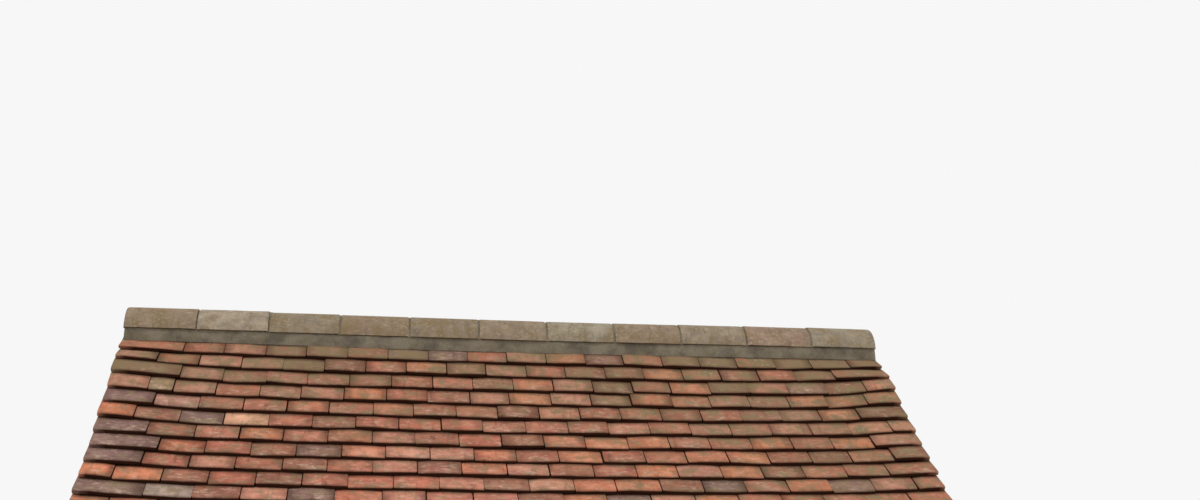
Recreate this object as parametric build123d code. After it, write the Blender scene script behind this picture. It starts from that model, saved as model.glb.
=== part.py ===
"""Lychgate: an open oak frame on two brick dwarf walls under a swept roof of clay tiles.

X runs along the ridge, Y along the path through the gate with the front at -Y, Z is up.
The origin is on the ground at the middle of the plan. West is -X and east is +X.
"""
from build123d import *
from math import asin, atan2, cos, degrees, radians, sin, sqrt
import os

os.makedirs("parts", exist_ok=True)

# Roof: each slope is an arc that flattens towards the eaves, as seen from the gable end
APEX_HEIGHT = 3840.0
ROOF_LENGTH = 3300.0
PITCH_AT_RIDGE = 54.6
SWEEP_RADIUS = 9076.0
TILE_GAUGE = 100.0
COURSES = 22
TILE_THICKNESS = 12.5
TILING_DEPTH = 36.0
TILING_END_FROM_RIDGE = 45.0
BOARD_THICKNESS = 22.0
TAIL_OVERHANG = 55.0

# Ridge
RIDGE_TILE_RADIUS = 125.0
RIDGE_TILE_WALL = 14.0
RIDGE_TILE_COUNT = 11
RIDGE_JOINT = 6.0
RIDGE_CREST_OVER_APEX = 13.0
RIDGE_BED_SET_BACK = 8.0
RIDGE_BOARD_THICKNESS = 32.0
RIDGE_BOARD_DEPTH = 205.0

# Rafters and verges
RAFTER_WIDTH = 75.0
RAFTER_DEPTH = 100.0
RAFTER_COUNT = 8
RAFTER_FOOT_PAST_POST = 480.0
RAFTER_SEAT = 50.0
VERGE_OVERHANG = 40.0
UNDERCLOAK_SET_BACK = 4.0
BARGE_THICKNESS = 40.0
BARGE_DEPTH = 190.0
BARGE_FOOT_RADIUS = 125.0

# Oak frame
GABLE_OVERHANG = 400.0
POST_ROW = 900.0
POST = 175.0
MIDDLE_POST = 125.0
PLATE = 150.0
TIE_DEPTH = 150.0
TIE_PAST_PLATE = 60.0
SILL_DEPTH = 125.0
KING_POST = 150.0
POST_CHAMFER = 20.0
CHAMFER_STOP = 170.0
RAIL_HEIGHT = 1400.0
RAIL_DEPTH = 80.0
RAIL_WIDTH = 100.0
RAIL_ROUND = 22.0
BALUSTER = 45.0
BALUSTERS_PER_BAY = 5

# Curved braces: reach along the beam, place of the foot, and rise of the curve
BRACE_THICKNESS = 75.0
ARCH_BRACE_DEPTH = 130.0
ARCH_BRACE_REACH = 640.0
ARCH_BRACE_DROP = 720.0
ARCH_BRACE_RISE = 95.0
SIDE_BRACE_DEPTH = 100.0
SIDE_BRACE_REACH = 430.0
SIDE_BRACE_OVER_RAIL = 250.0
SIDE_BRACE_RISE = 55.0
STRUT_DEPTH = 95.0
STRUT_REACH = 525.0
STRUT_FOOT_OVER_TIE = 150.0
STRUT_RISE = 45.0

# Dwarf walls
WALL_THICKNESS = 328.0
WALL_HEIGHT = 675.0
WALL_PAST_POST = 72.0
COPING_THICKNESS = 75.0
COPING_EDGE = 50.0
COPING_OVERHANG = 35.0
COPING_SEAT_MARGIN = 8.0
DRIP_RADIUS = 7.0
DRIP_INSET = 18.0

# Room between a curved face and the piece that is cut to it
CURVE_CLEARANCE = 0.3

# Heights and places that follow from the sizes above
HALF_LENGTH = ROOF_LENGTH / 2
FRAME_X = HALF_LENGTH - GABLE_OVERHANG
TAIL_END = TILE_GAUGE * COURSES
BOARD_END = TAIL_END - TAIL_OVERHANG
BARGE_TOP = TILING_DEPTH + TILE_THICKNESS
RAFTER_TOP = TILING_DEPTH + BOARD_THICKNESS
RAFTER_UNDERSIDE = RAFTER_TOP + RAFTER_DEPTH
RAFTER_FOOT = POST_ROW + RAFTER_FOOT_PAST_POST
PITCH = radians(PITCH_AT_RIDGE)
CENTRE_Y = SWEEP_RADIUS * sin(PITCH)
CENTRE_Z = APEX_HEIGHT + SWEEP_RADIUS * cos(PITCH)


def slope_point(distance, depth):
    """Y and Z on the back slope, from the distance down the slope and the depth below it."""
    angle = PITCH - distance / SWEEP_RADIUS
    radius = SWEEP_RADIUS + depth
    return CENTRE_Y - radius * sin(angle), CENTRE_Z - radius * cos(angle)


def slope_height(y, depth):
    """Height of a layer of the roof at a distance y from the ridge line."""
    return CENTRE_Z - sqrt((SWEEP_RADIUS + depth) ** 2 - (CENTRE_Y - y) ** 2)


def slope_distance(y, depth):
    """Distance down the slope at which a layer is a distance y from the ridge line."""
    return SWEEP_RADIUS * (PITCH - asin((CENTRE_Y - y) / (SWEEP_RADIUS + depth)))


PLATE_TOP = slope_height(POST_ROW + PLATE / 2 - RAFTER_SEAT, RAFTER_UNDERSIDE)
PLATE_UNDERSIDE = PLATE_TOP - PLATE
TIE_UNDERSIDE = PLATE_UNDERSIDE - TIE_DEPTH
SILL_UNDERSIDE = WALL_HEIGHT + COPING_THICKNESS
SILL_TOP = SILL_UNDERSIDE + SILL_DEPTH
RIDGE_BOARD_TOP = slope_height(0, RAFTER_TOP)
RIDGE_BOARD_UNDERSIDE = RIDGE_BOARD_TOP - RIDGE_BOARD_DEPTH
RIDGE_CENTRE_Z = APEX_HEIGHT + RIDGE_CREST_OVER_APEX - RIDGE_TILE_RADIUS
BARGE_INNER = HALF_LENGTH - VERGE_OVERHANG - BARGE_THICKNESS
POST_INNER_X = FRAME_X - POST / 2
POST_INNER_Y = POST_ROW - POST / 2
SILL_LENGTH = 2 * POST_ROW + POST
WALL_LENGTH = SILL_LENGTH + 2 * WALL_PAST_POST
COPING_LENGTH = WALL_LENGTH + 2 * COPING_OVERHANG
BETWEEN_BARGES = (-BARGE_INNER, BARGE_INNER)
FAR = 3 * APEX_HEIGHT


def about(middle, width):
    """The limits of a width centred on a place."""
    return middle - width / 2, middle + width / 2


def block(x_range, y_range, z_range):
    """A squared timber or a mass of masonry between three pairs of limits."""
    ranges = (x_range, y_range, z_range)
    sizes = [high - low for low, high in ranges]
    middle = [(high + low) / 2 for low, high in ranges]
    return Pos(*middle) * Box(*sizes)


def gable_line(start, end):
    """A straight edge in the gable plane, between two Y and Z pairs."""
    return Line((0, *start), (0, *end))


def layer_arc(start, end, depth):
    """The edge of a layer of the back slope between two distances down the slope."""
    points = [slope_point(place, depth) for place in (start, (start + end) / 2, end)]
    return ThreePointArc(*[(0, *point) for point in points])


def along_ridge(edges, x_range):
    """The solid that a closed outline in the gable plane makes along the ridge."""
    low, high = x_range
    return Pos(low, 0, 0) * extrude(make_face(edges), amount=high - low, dir=(1, 0, 0))


def roof_layer(top, underside, start, end, x_range):
    """A curved layer of the back slope between two depths, its ends square to the slope."""
    edges = [
        layer_arc(start, end, top),
        gable_line(slope_point(end, top), slope_point(end, underside)),
        layer_arc(end, start, underside),
        gable_line(slope_point(start, underside), slope_point(start, top)),
    ]
    return along_ridge(edges, x_range)


def behind(y):
    """All the space behind a plumb plane at a distance y from the ridge line."""
    return block((-FAR, FAR), (y, FAR), (-FAR, FAR))


def under_roof(depth, x_range):
    """The space under a layer of both slopes, as far out as the rafter feet."""
    start = slope_distance(0, depth)
    end = slope_distance(RAFTER_FOOT, depth)
    ridge = slope_point(start, depth)
    eaves = slope_point(end, depth)
    edges = [
        layer_arc(start, end, depth),
        gable_line(eaves, (eaves[0], 0)),
        gable_line((eaves[0], 0), (ridge[0], 0)),
        gable_line((ridge[0], 0), ridge),
    ]
    half = along_ridge(edges, x_range)
    return half + to_front(half)


def to_front(shape):
    """The front's copy of a piece at the back."""
    return mirror(shape, about=Plane.XZ)


def to_west(shape):
    """The west side's copy of a piece on the east side."""
    return mirror(shape, about=Plane.YZ)


def curved_bar(start, end, rise, depth, thickness, plane):
    """A bar of even depth between two circles about one centre, lying in a plane.

    Its middle line stands off the straight line from start to end by the rise, on the left
    of the way there. It runs on past both ends, to be cut to the pieces that it meets.
    """
    start = Vector(*start)
    end = Vector(*end)
    chord = end - start
    left = Vector(-chord.Y, chord.X).normalized()
    radius = chord.length**2 / (8 * rise) + rise / 2
    centre = (start + end) / 2 - left * (radius - rise)
    half_turn = degrees(asin(chord.length / 2 / radius) + 2 * depth / radius)
    first = degrees(atan2(left.Y, left.X)) - half_turn
    outer = CenterArc(centre, radius + depth / 2, first, 2 * half_turn)
    inner = CenterArc(centre, radius - depth / 2, first, 2 * half_turn)
    edges = [outer, inner, Line(outer @ 0, inner @ 0), Line(outer @ 1, inner @ 1)]
    return extrude(plane * make_face(edges), amount=thickness / 2, both=True)


# Dwarf wall, coping and sill of the east side


def plinth_wall():
    """Brick wall one and a half bricks thick that carries one side of the frame."""
    return block(about(FRAME_X, WALL_THICKNESS), about(0, WALL_LENGTH), (0, WALL_HEIGHT))


def coping():
    """Stone coping, weathered both ways from the seat of the sill, with a drip each side."""
    edge = WALL_THICKNESS / 2 + COPING_OVERHANG
    seat = POST / 2 + COPING_SEAT_MARGIN
    shoulder = WALL_HEIGHT + COPING_EDGE
    outline = [
        (-edge, WALL_HEIGHT),
        (-edge, shoulder),
        (-seat, SILL_UNDERSIDE),
        (seat, SILL_UNDERSIDE),
        (edge, shoulder),
        (edge, WALL_HEIGHT),
    ]
    section = Plane.XZ * make_face(Polyline(*outline, close=True))
    stone = extrude(section, amount=COPING_LENGTH / 2, both=True)
    for side in (-1, 1):
        groove = Cylinder(DRIP_RADIUS, COPING_LENGTH, rotation=(90, 0, 0))
        stone -= Pos(side * (edge - DRIP_INSET), 0, WALL_HEIGHT) * groove
    return Pos(FRAME_X, 0, 0) * stone


def sill_beam():
    """Sill along the coping, under the posts and balusters."""
    return block(about(FRAME_X, POST), about(0, SILL_LENGTH), (SILL_UNDERSIDE, SILL_TOP))


# Posts, rails, balusters and side braces of the east side


def post(y, width):
    """Post with its four arrises chamfered between stops at the foot and the head."""
    timber = block(about(FRAME_X, POST), about(y, width), (SILL_TOP, TIE_UNDERSIDE))
    low = SILL_TOP + CHAMFER_STOP
    high = TIE_UNDERSIDE - CHAMFER_STOP
    across = POST_CHAMFER * sqrt(2)
    for x_side in (-1, 1):
        for y_side in (-1, 1):
            corner = Pos(FRAME_X + x_side * POST / 2, y + y_side * width / 2, (low + high) / 2)
            timber -= corner * Rot(0, 0, 45) * Box(across, across, high - low)
    return timber


def rails():
    """Hand rails from post to post, one a bay, rounded on top."""
    bay = (MIDDLE_POST / 2, POST_INNER_Y)
    rail = block(about(FRAME_X, RAIL_WIDTH), bay, (RAIL_HEIGHT, RAIL_HEIGHT + RAIL_DEPTH))
    upper = rail.edges().filter_by(Axis.Y).group_by(Axis.Z)[-1]
    rail = fillet(upper, RAIL_ROUND)
    return [rail, to_front(rail)]


def balusters():
    """Square balusters at even spaces in each bay, from the sill to the rail."""
    first = MIDDLE_POST / 2
    space = (POST_INNER_Y - first) / (BALUSTERS_PER_BAY + 1)
    pieces = []
    for number in range(1, BALUSTERS_PER_BAY + 1):
        place = about(first + number * space, BALUSTER)
        piece = block(about(FRAME_X, BALUSTER), place, (SILL_TOP, RAIL_HEIGHT))
        pieces += [piece, to_front(piece)]
    return pieces


def side_braces():
    """Curved braces from the corner posts up to the tie beam."""
    head = (POST_INNER_Y - SIDE_BRACE_REACH, TIE_UNDERSIDE)
    foot = (POST_INNER_Y, RAIL_HEIGHT + RAIL_DEPTH + SIDE_BRACE_OVER_RAIL)
    plane = Plane.YZ.offset(FRAME_X)
    bar = curved_bar(head, foot, SIDE_BRACE_RISE, SIDE_BRACE_DEPTH, BRACE_THICKNESS, plane)
    brace = bar & block(about(FRAME_X, POST), (0, POST_INNER_Y), (0, TIE_UNDERSIDE))
    return [brace, to_front(brace)]


# Roof truss of the east side


def tie_beam():
    """Tie beam across the post heads, carrying both wall plates."""
    length = 2 * (POST_ROW + PLATE / 2 + TIE_PAST_PLATE)
    return block(about(FRAME_X, PLATE), about(0, length), (TIE_UNDERSIDE, PLATE_UNDERSIDE))


def king_post():
    """King post from the tie beam to the ridge board, its head cut to the rafters."""
    x_range = about(FRAME_X, KING_POST)
    timber = block(x_range, about(0, KING_POST), (PLATE_UNDERSIDE, RIDGE_BOARD_UNDERSIDE))
    return timber & under_roof(RAFTER_UNDERSIDE + CURVE_CLEARANCE, x_range)


def struts():
    """Curved struts from the king post out to the rafters."""
    y = KING_POST / 2 + STRUT_REACH
    head = (y, slope_height(y, RAFTER_UNDERSIDE))
    foot = (KING_POST / 2, PLATE_UNDERSIDE + STRUT_FOOT_OVER_TIE)
    plane = Plane.YZ.offset(FRAME_X)
    bar = curved_bar(head, foot, STRUT_RISE, STRUT_DEPTH, BRACE_THICKNESS, plane)
    x_range = about(FRAME_X, BRACE_THICKNESS)
    strut = bar & under_roof(RAFTER_UNDERSIDE + CURVE_CLEARANCE, x_range)
    strut &= behind(KING_POST / 2)
    return [strut, to_front(strut)]


# Timbers along the back of the roof


def wall_plate():
    """Wall plate on the tie beams, running out to the barge boards."""
    return block(BETWEEN_BARGES, about(POST_ROW, PLATE), (PLATE_UNDERSIDE, PLATE_TOP))


def arch_braces():
    """Curved braces that make an arch under the wall plate."""
    head = (POST_INNER_X - ARCH_BRACE_REACH, PLATE_UNDERSIDE)
    foot = (POST_INNER_X, PLATE_UNDERSIDE - ARCH_BRACE_DROP)
    plane = Plane.XZ.offset(-POST_ROW)
    bar = curved_bar(head, foot, ARCH_BRACE_RISE, ARCH_BRACE_DEPTH, BRACE_THICKNESS, plane)
    brace = bar & block((0, POST_INNER_X), about(POST_ROW, POST), (0, PLATE_UNDERSIDE))
    return [brace, to_west(brace)]


def ridge_board():
    """Ridge board between the rafter heads, its top bevelled to the boarding."""
    y_range = about(0, RIDGE_BOARD_THICKNESS)
    board = block(BETWEEN_BARGES, y_range, (RIDGE_BOARD_UNDERSIDE, RIDGE_BOARD_TOP))
    return board & under_roof(RAFTER_TOP, BETWEEN_BARGES)


def rafters():
    """Swept rafters, cut plumb at the ridge board and the foot and notched over the plate."""
    end = slope_distance(RAFTER_FOOT, RAFTER_UNDERSIDE) + RAFTER_DEPTH
    limits = block((-FAR, FAR), (RIDGE_BOARD_THICKNESS / 2, RAFTER_FOOT), (0, FAR))
    spacing = 2 * FRAME_X / (RAFTER_COUNT - 1)
    pieces = []
    for number in range(RAFTER_COUNT):
        x_range = about(number * spacing - FRAME_X, RAFTER_WIDTH)
        rafter = roof_layer(RAFTER_TOP, RAFTER_UNDERSIDE, 0, end, x_range)
        pieces.append((rafter & limits) - wall_plate())
    return pieces


def roof_boards():
    """Boarding over the rafters, under the tiles, from the ridge line to the eaves."""
    return roof_layer(TILING_DEPTH, RAFTER_TOP, 0, BOARD_END, BETWEEN_BARGES) & behind(0)


def undercloaks():
    """Tiles laid face down on the barge boards, under the verge tiles."""
    x_range = (BARGE_INNER, HALF_LENGTH - UNDERCLOAK_SET_BACK)
    strip = roof_layer(TILING_DEPTH, BARGE_TOP, 0, BOARD_END, x_range)
    strip &= behind(TILING_END_FROM_RIDGE)
    return [strip, to_west(strip)]


def barge_board():
    """Swept barge board of the east verge, with a hollow cut out of its foot."""
    x_range = (BARGE_INNER, BARGE_INNER + BARGE_THICKNESS)
    depth = BARGE_TOP + BARGE_DEPTH
    board = roof_layer(BARGE_TOP, depth, 0, BOARD_END, x_range) & behind(0)
    hollow = Cylinder(BARGE_FOOT_RADIUS, 2 * BARGE_THICKNESS, rotation=(0, 90, 0))
    return board - Pos(BARGE_INNER, *slope_point(BOARD_END, depth)) * hollow


def roof_tiles():
    """Tiling of the back slope: each course rises to its tail and lies on the one below."""
    edges = []
    for course in range(COURSES):
        upper = slope_point(course * TILE_GAUGE, TILE_THICKNESS)
        tail = slope_point((course + 1) * TILE_GAUGE, 0)
        edges.append(gable_line(upper, tail))
        if course < COURSES - 1:
            step = slope_point((course + 1) * TILE_GAUGE, TILE_THICKNESS)
            edges.append(gable_line(tail, step))
    eaves = slope_point(TAIL_END, 2 * TILE_THICKNESS)
    edges += [
        gable_line(slope_point(TAIL_END, 0), eaves),
        gable_line(eaves, slope_point(BOARD_END, TILING_DEPTH)),
        layer_arc(BOARD_END, 0, TILING_DEPTH),
        gable_line(slope_point(0, TILING_DEPTH), slope_point(0, TILE_THICKNESS)),
    ]
    tiling = along_ridge(edges, (-HALF_LENGTH, HALF_LENGTH))
    return tiling & behind(TILING_END_FROM_RIDGE)


# Ridge


def half_disc(radius, x_range):
    """The upper half of a round bar along the crest of the ridge."""
    arc = CenterArc((0, 0), radius, 0, 180)
    section = Plane.YZ * make_face([arc, Line(arc @ 1, arc @ 0)])
    low, high = x_range
    return Pos(low, 0, RIDGE_CENTRE_Z) * extrude(section, amount=high - low, dir=(1, 0, 0))


def ridge_tiles():
    """Half-round ridge tiles laid end to end with a joint between them."""
    pitch = ROOF_LENGTH / RIDGE_TILE_COUNT
    pieces = []
    for number in range(RIDGE_TILE_COUNT):
        x_range = about((number + 0.5) * pitch - HALF_LENGTH, pitch - RIDGE_JOINT)
        bore = half_disc(RIDGE_TILE_RADIUS - RIDGE_TILE_WALL, x_range)
        pieces.append(half_disc(RIDGE_TILE_RADIUS, x_range) - bore)
    return pieces


def ridge_bedding(back_tiles):
    """Mortar that fills the ridge tiles and beds their edges on the top courses."""
    reach = HALF_LENGTH - RIDGE_BED_SET_BACK
    x_range = (-reach, reach)
    half_width = RIDGE_TILE_RADIUS - RIDGE_BED_SET_BACK
    low = slope_height(half_width, 0)
    mortar = block(x_range, about(0, 2 * half_width), (low, RIDGE_CENTRE_Z))
    mortar += half_disc(RIDGE_TILE_RADIUS - RIDGE_TILE_WALL, x_range)
    mortar -= under_roof(TILING_DEPTH, x_range)
    return mortar - back_tiles - to_front(back_tiles)


def save(name, pieces):
    """Write one named piece, or a group of like pieces that do not touch."""
    shape = Compound(pieces) if isinstance(pieces, list) else pieces
    export_step(shape, os.path.join("parts", name + ".step"))


def save_both_sides(name, pieces):
    """Write the east side's pieces and their copy on the west side."""
    save("east_" + name, pieces)
    west = [to_west(piece) for piece in pieces] if isinstance(pieces, list) else to_west(pieces)
    save("west_" + name, west)


def save_front_and_back(name, pieces):
    """Write the back's pieces and their copy at the front."""
    save("back_" + name, pieces)
    front = [to_front(piece) for piece in pieces] if isinstance(pieces, list) else to_front(pieces)
    save("front_" + name, front)


def build():
    """Make every piece and write it to its file."""
    corner_post = post(POST_ROW, POST)
    barge = barge_board()
    tiles = roof_tiles()
    save_both_sides("plinth_wall", plinth_wall())
    save_both_sides("coping", coping())
    save_both_sides("sill_beam", sill_beam())
    save_both_sides("back_post", corner_post)
    save_both_sides("middle_post", post(0, MIDDLE_POST))
    save_both_sides("front_post", to_front(corner_post))
    save_both_sides("rails", rails())
    save_both_sides("balusters", balusters())
    save_both_sides("side_braces", side_braces())
    save_both_sides("tie_beam", tie_beam())
    save_both_sides("king_post", king_post())
    save_both_sides("struts", struts())
    save_both_sides("back_barge_board", barge)
    save_both_sides("front_barge_board", to_front(barge))
    save_front_and_back("wall_plate", wall_plate())
    save_front_and_back("arch_braces", arch_braces())
    save_front_and_back("rafters", rafters())
    save_front_and_back("roof_boards", roof_boards())
    save_front_and_back("roof_tiles", tiles)
    save_front_and_back("undercloaks", undercloaks())
    save("ridge_board", ridge_board())
    save("ridge_tiles", ridge_tiles())
    save("ridge_bedding", ridge_bedding(tiles))


build()
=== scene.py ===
"""Looks of the lychgate, laid out as an add-on with one operator for each group of pieces.

X runs along the ridge, Y along the path with the front at -Y, and Z is up, all in metres.
"""
from collections import namedtuple
from functools import partial

import bpy
import numpy as np
from bpy.props import FloatProperty, FloatVectorProperty, IntProperty, PointerProperty
from bpy.types import Operator, Panel, PropertyGroup
from mathutils import Matrix, Vector


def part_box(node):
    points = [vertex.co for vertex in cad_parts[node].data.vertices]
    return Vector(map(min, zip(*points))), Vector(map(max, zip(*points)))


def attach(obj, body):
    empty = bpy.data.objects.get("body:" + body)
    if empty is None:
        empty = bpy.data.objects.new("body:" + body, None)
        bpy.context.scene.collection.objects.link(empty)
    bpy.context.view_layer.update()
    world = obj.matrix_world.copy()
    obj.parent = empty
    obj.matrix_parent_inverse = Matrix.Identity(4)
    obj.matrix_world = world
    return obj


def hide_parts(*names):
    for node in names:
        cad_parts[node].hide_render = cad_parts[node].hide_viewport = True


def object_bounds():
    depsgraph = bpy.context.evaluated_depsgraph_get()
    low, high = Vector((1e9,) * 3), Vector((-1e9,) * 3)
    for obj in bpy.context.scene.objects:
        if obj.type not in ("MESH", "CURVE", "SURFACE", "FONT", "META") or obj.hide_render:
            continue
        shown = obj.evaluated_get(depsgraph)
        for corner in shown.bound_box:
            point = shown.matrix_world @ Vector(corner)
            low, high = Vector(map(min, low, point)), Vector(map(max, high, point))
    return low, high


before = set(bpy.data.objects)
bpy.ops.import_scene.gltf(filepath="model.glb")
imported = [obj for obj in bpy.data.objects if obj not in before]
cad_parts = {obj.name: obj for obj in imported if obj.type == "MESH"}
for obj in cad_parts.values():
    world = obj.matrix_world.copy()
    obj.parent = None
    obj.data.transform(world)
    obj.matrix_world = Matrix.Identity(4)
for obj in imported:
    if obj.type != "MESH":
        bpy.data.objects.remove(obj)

bl_info = {
    "name": "Lychgate",
    "version": (1, 0, 0),
    "blender": (4, 5, 0),
    "location": "View3D > Sidebar > Lychgate",
    "description": "Tiles, oak, brick and stone of a lychgate around its packed model",
    "category": "Object",
}

CAD_LOW, CAD_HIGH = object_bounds()
HALF_LENGTH = CAD_HIGH.x
BODY = "root"
MM = 0.001
UP = np.array([0.0, 0.0, 1.0])

# The two slopes and the two ends of the roof, with their directions along Y and X.
FRONT_BACK = (("front", -1), ("back", 1))
WEST_EAST = (("west", -1), ("east", 1))


# Sizes and colours


def length(name, description, default):
    """A length that a user may change, in metres."""
    return FloatProperty(name=name, description=description, default=default, unit="LENGTH")


def angle(name, description, degrees):
    """An angle that a user may change."""
    turn = float(np.radians(degrees))
    return FloatProperty(name=name, description=description, default=turn, subtype="ANGLE")


def colour(name, description, display):
    """A colour that a user may change, from its display value."""
    return FloatVectorProperty(
        name=name, description=description, default=linear(display), subtype="COLOR",
        size=3, min=0.0, max=1.0,
    )


def linear(display):
    """Scene colour of a display colour, by the standard display curve."""
    value = np.array(display)
    bright = ((value + 0.055) / 1.055) ** 2.4
    return tuple(float(part) for part in np.where(value <= 0.04045, value / 12.92, bright))


class LychgateRoof(PropertyGroup):
    """Sizes of the swept roof and its tiles."""

    apex: length("Apex height", "Height at which the tail lines of both slopes would meet", 3.84)
    pitch: angle("Pitch at the ridge", "Slope of the roof at the ridge", 54.6)
    sweep: length("Sweep radius", "Radius of the hollow curve of each slope", 9.076)
    gauge: length("Gauge", "Distance from one course to the next", 0.1)
    courses: IntProperty(name="Courses", description="Courses on each slope", default=22)
    tile_width: length("Tile pitch", "Width of a tile with its joint", 0.170)
    tile_joint: length("Tile joint", "Narrowest joint between two tiles", 0.0014)
    tile_length: length("Tile length", "Length of the tile up the slope", 0.19)
    tile_thickness: length("Tile thickness", "Thickness of a tile", 0.0125)
    tiling_depth: length("Tiling depth", "Depth of the boards under the tail lines", 0.036)
    board_thickness: length("Board thickness", "Thickness of the roof boards", 0.022)
    board_width: length("Board width", "Width of a roof board", 0.143)
    tail_overhang: length("Tail overhang", "Reach of the tiles past the boards", 0.055)
    tiling_end: length("Tiling end", "Distance from the ridge line to the top tiles", 0.045)
    verge_lift: length("Verge lift", "Rise of the verge tiles on their mortar", 0.0215)
    verge_reach: length("Verge reach", "Width of the strip that rises to the verge", 0.29)
    sag: length("Sag", "Sag of the tiling at the middle of the roof", 0.013)
    rafter_depth: length("Rafter depth", "Depth of a rafter", 0.1)
    rafter_width: length("Rafter width", "Width of a rafter", 0.075)
    rafter_count: IntProperty(name="Rafters", description="Rafters on each slope", default=8)


class LychgateOak(PropertyGroup):
    """Sizes of the oak frame."""

    worn: length("Worn arris", "Width of the worn edge of a timber", 0.005)
    chamfer: length("Chamfer", "Chamfer on the posts", 0.02)
    chamfer_stop: length("Chamfer stop", "Distance of the chamfer from the end of a post", 0.17)
    peg: length("Peg", "Diameter of an oak peg", 0.019)
    peg_proud: length("Peg end", "Length of peg left standing proud", 0.007)
    brace_thickness: length("Brace thickness", "Thickness of braces and struts", 0.072)


class LychgateWalls(PropertyGroup):
    """Sizes of the brick walls and their copings."""

    course: length("Brick course", "Height of a course with its joint", 0.075)
    joint: length("Mortar joint", "Thickness of a mortar joint", 0.01)
    modules: IntProperty(name="Headers", description="Header widths in the wall", default=19)
    recess: length("Joint recess", "Depth of the joints behind the brick faces", 0.005)
    stones: IntProperty(name="Coping stones", description="Stones in each coping", default=4)


class LychgateColours(PropertyGroup):
    """Colours of the finishes."""

    red: colour("Red clay", "Usual tile", (0.755, 0.46, 0.365))
    orange: colour("Orange clay", "Bright tile", (0.85, 0.53, 0.39))
    pink: colour("Pink clay", "Pale red tile", (0.81, 0.55, 0.455))
    brown: colour("Brown clay", "Dark red tile", (0.63, 0.42, 0.335))
    plum: colour("Plum clay", "Purple brown tile", (0.57, 0.44, 0.405))
    buff: colour("Buff clay", "Weathered grey brown tile", (0.62, 0.51, 0.39))
    pale: colour("Pale orange clay", "The palest tiles", (0.95, 0.71, 0.57))
    grey: colour("Grey clay", "Tiles with a grey bloom", (0.68, 0.60, 0.54))
    # The bloom colour is lime bloom, and the painted highlight on the tiles' worn tail arrises.
    bloom_and_highlight: colour("Bloom", "Lime bloom and worn arrises", (0.88, 0.76, 0.66))
    moss: colour("Patina", "Growth near the ridge", (0.47, 0.43, 0.32))
    algae: colour("Algae", "Thin olive film on the tiles", (0.53, 0.45, 0.33))
    lichen: colour("Lichen", "Crusts on tiles and stones", (0.66, 0.65, 0.55))
    # The soil colour is dirt, and on the tiles it is also the painted shade on their tails and
    # below them.
    soil_and_shade: colour("Soil", "Dirt under the tails and in joints", (0.205, 0.105, 0.058))
    ridge: colour("Ridge clay", "Weathered ridge tiles", (0.66, 0.62, 0.54))
    old_mortar: colour("Old mortar", "Weathered bedding of the roof", (0.53, 0.49, 0.42))
    mortar: colour("Mortar", "Bedding and joints", (0.66, 0.63, 0.56))
    oak: colour("Oak", "Weathered oak", (0.55, 0.48, 0.39))
    oak_dark: colour("Oak grain", "Grain and checks of the oak", (0.30, 0.245, 0.19))
    board: colour("Boards", "Roof boards in the dry", (0.60, 0.49, 0.36))
    brick: colour("Brick", "Usual brick", (0.59, 0.35, 0.27))
    stone: colour("Coping stone", "Weathered limestone", (0.68, 0.64, 0.55))


class LychgateStage(PropertyGroup):
    """Camera, lights and floor."""

    lens: FloatProperty(name="Lens", description="Focal length in mm", default=45.0)
    eye: length("Eye height", "Height of the camera over the ground", 1.604)
    east: length("Camera east", "Place of the camera along the ridge", -0.603)
    back: length("Camera back", "Distance of the camera from the ridge line", 6.327)
    yaw: angle("Yaw", "Turn of the camera to the east", 9.116)
    tilt: angle("Tilt", "Upward tilt of the camera", 22.12)
    roll: angle("Roll", "Roll of the camera", -1.302)
    pale: FloatProperty(name="Backdrop", description="Brightness of the backdrop", default=0.93)


def settings(name):
    """One of the groups of sizes and colours of the scene."""
    return getattr(bpy.context.scene, "lychgate_" + name)


# Surfaces worked out as arrays


class Shape:
    """A closed surface: vertices, faces with their corners' UVs, and values at the vertices."""

    def __init__(self, vertices, faces, uvs, values):
        self.vertices = vertices
        self.faces = faces
        self.uvs = uvs
        self.values = values

    def outwards(self):
        """Turns all faces round if the volume that they enclose comes out negative."""
        volume = 0.0
        for group in self.faces:
            corners = self.vertices[group]
            for third in range(2, group.shape[1]):
                normal = np.cross(corners[:, third - 1], corners[:, third])
                volume += np.einsum("ij,ij->", corners[:, 0], normal)
        if volume < 0:
            self.faces = [group[:, ::-1] for group in self.faces]
            self.uvs = [group[:, ::-1] for group in self.uvs]
        return self


def join(shapes):
    """One shape of many that have faces with the same numbers of corners and the same values."""
    starts = np.cumsum([0] + [len(shape.vertices) for shape in shapes])
    faces = []
    uvs = []
    for group in range(len(shapes[0].faces)):
        faces.append(np.concatenate([s.faces[group] + n for s, n in zip(shapes, starts)]))
        uvs.append(np.concatenate([shape.uvs[group] for shape in shapes]))
    names = shapes[0].values
    values = {name: np.concatenate([shape.values[name] for shape in shapes]) for name in names}
    return Shape(np.concatenate([shape.vertices for shape in shapes]), faces, uvs, values)


def grid_quads(rows, columns):
    """Corners of the quads of a grid whose last column joins the first, their rows and columns."""
    row, column = np.meshgrid(np.arange(rows - 1), np.arange(columns), indexing="ij")
    after = (column + 1) % columns
    low = row * columns
    high = low + columns
    quads = np.stack([low + column, low + after, high + after, high + column], -1)
    return quads.reshape(-1, 4), row.ravel(), column.ravel()


def bar(points, along, around, values=None):
    """Closes a grid of points into a bar.

    Row i of the grid is the outline at a distance along[i] of the bar, and column j lies at a
    distance around[j] of the outline. Each end is one face.
    """
    rows, columns = points.shape[:2]
    quads, row, column = grid_quads(rows, columns)
    u = np.stack([along[row], along[row], along[row + 1], along[row + 1]], -1)
    v = np.stack([around[column], around[column + 1], around[column + 1], around[column]], -1)
    ends = np.stack([flat_places(points[0])[::-1], flat_places(points[-1])])
    faces = [quads, end_rings(rows, columns)]
    uvs = [np.stack([u, v], -1), ends + (along[0], around[0])]
    spread = at_vertices(values or {}, rows, columns)
    return Shape(points.reshape(-1, 3), faces, uvs, spread).outwards()


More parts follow.
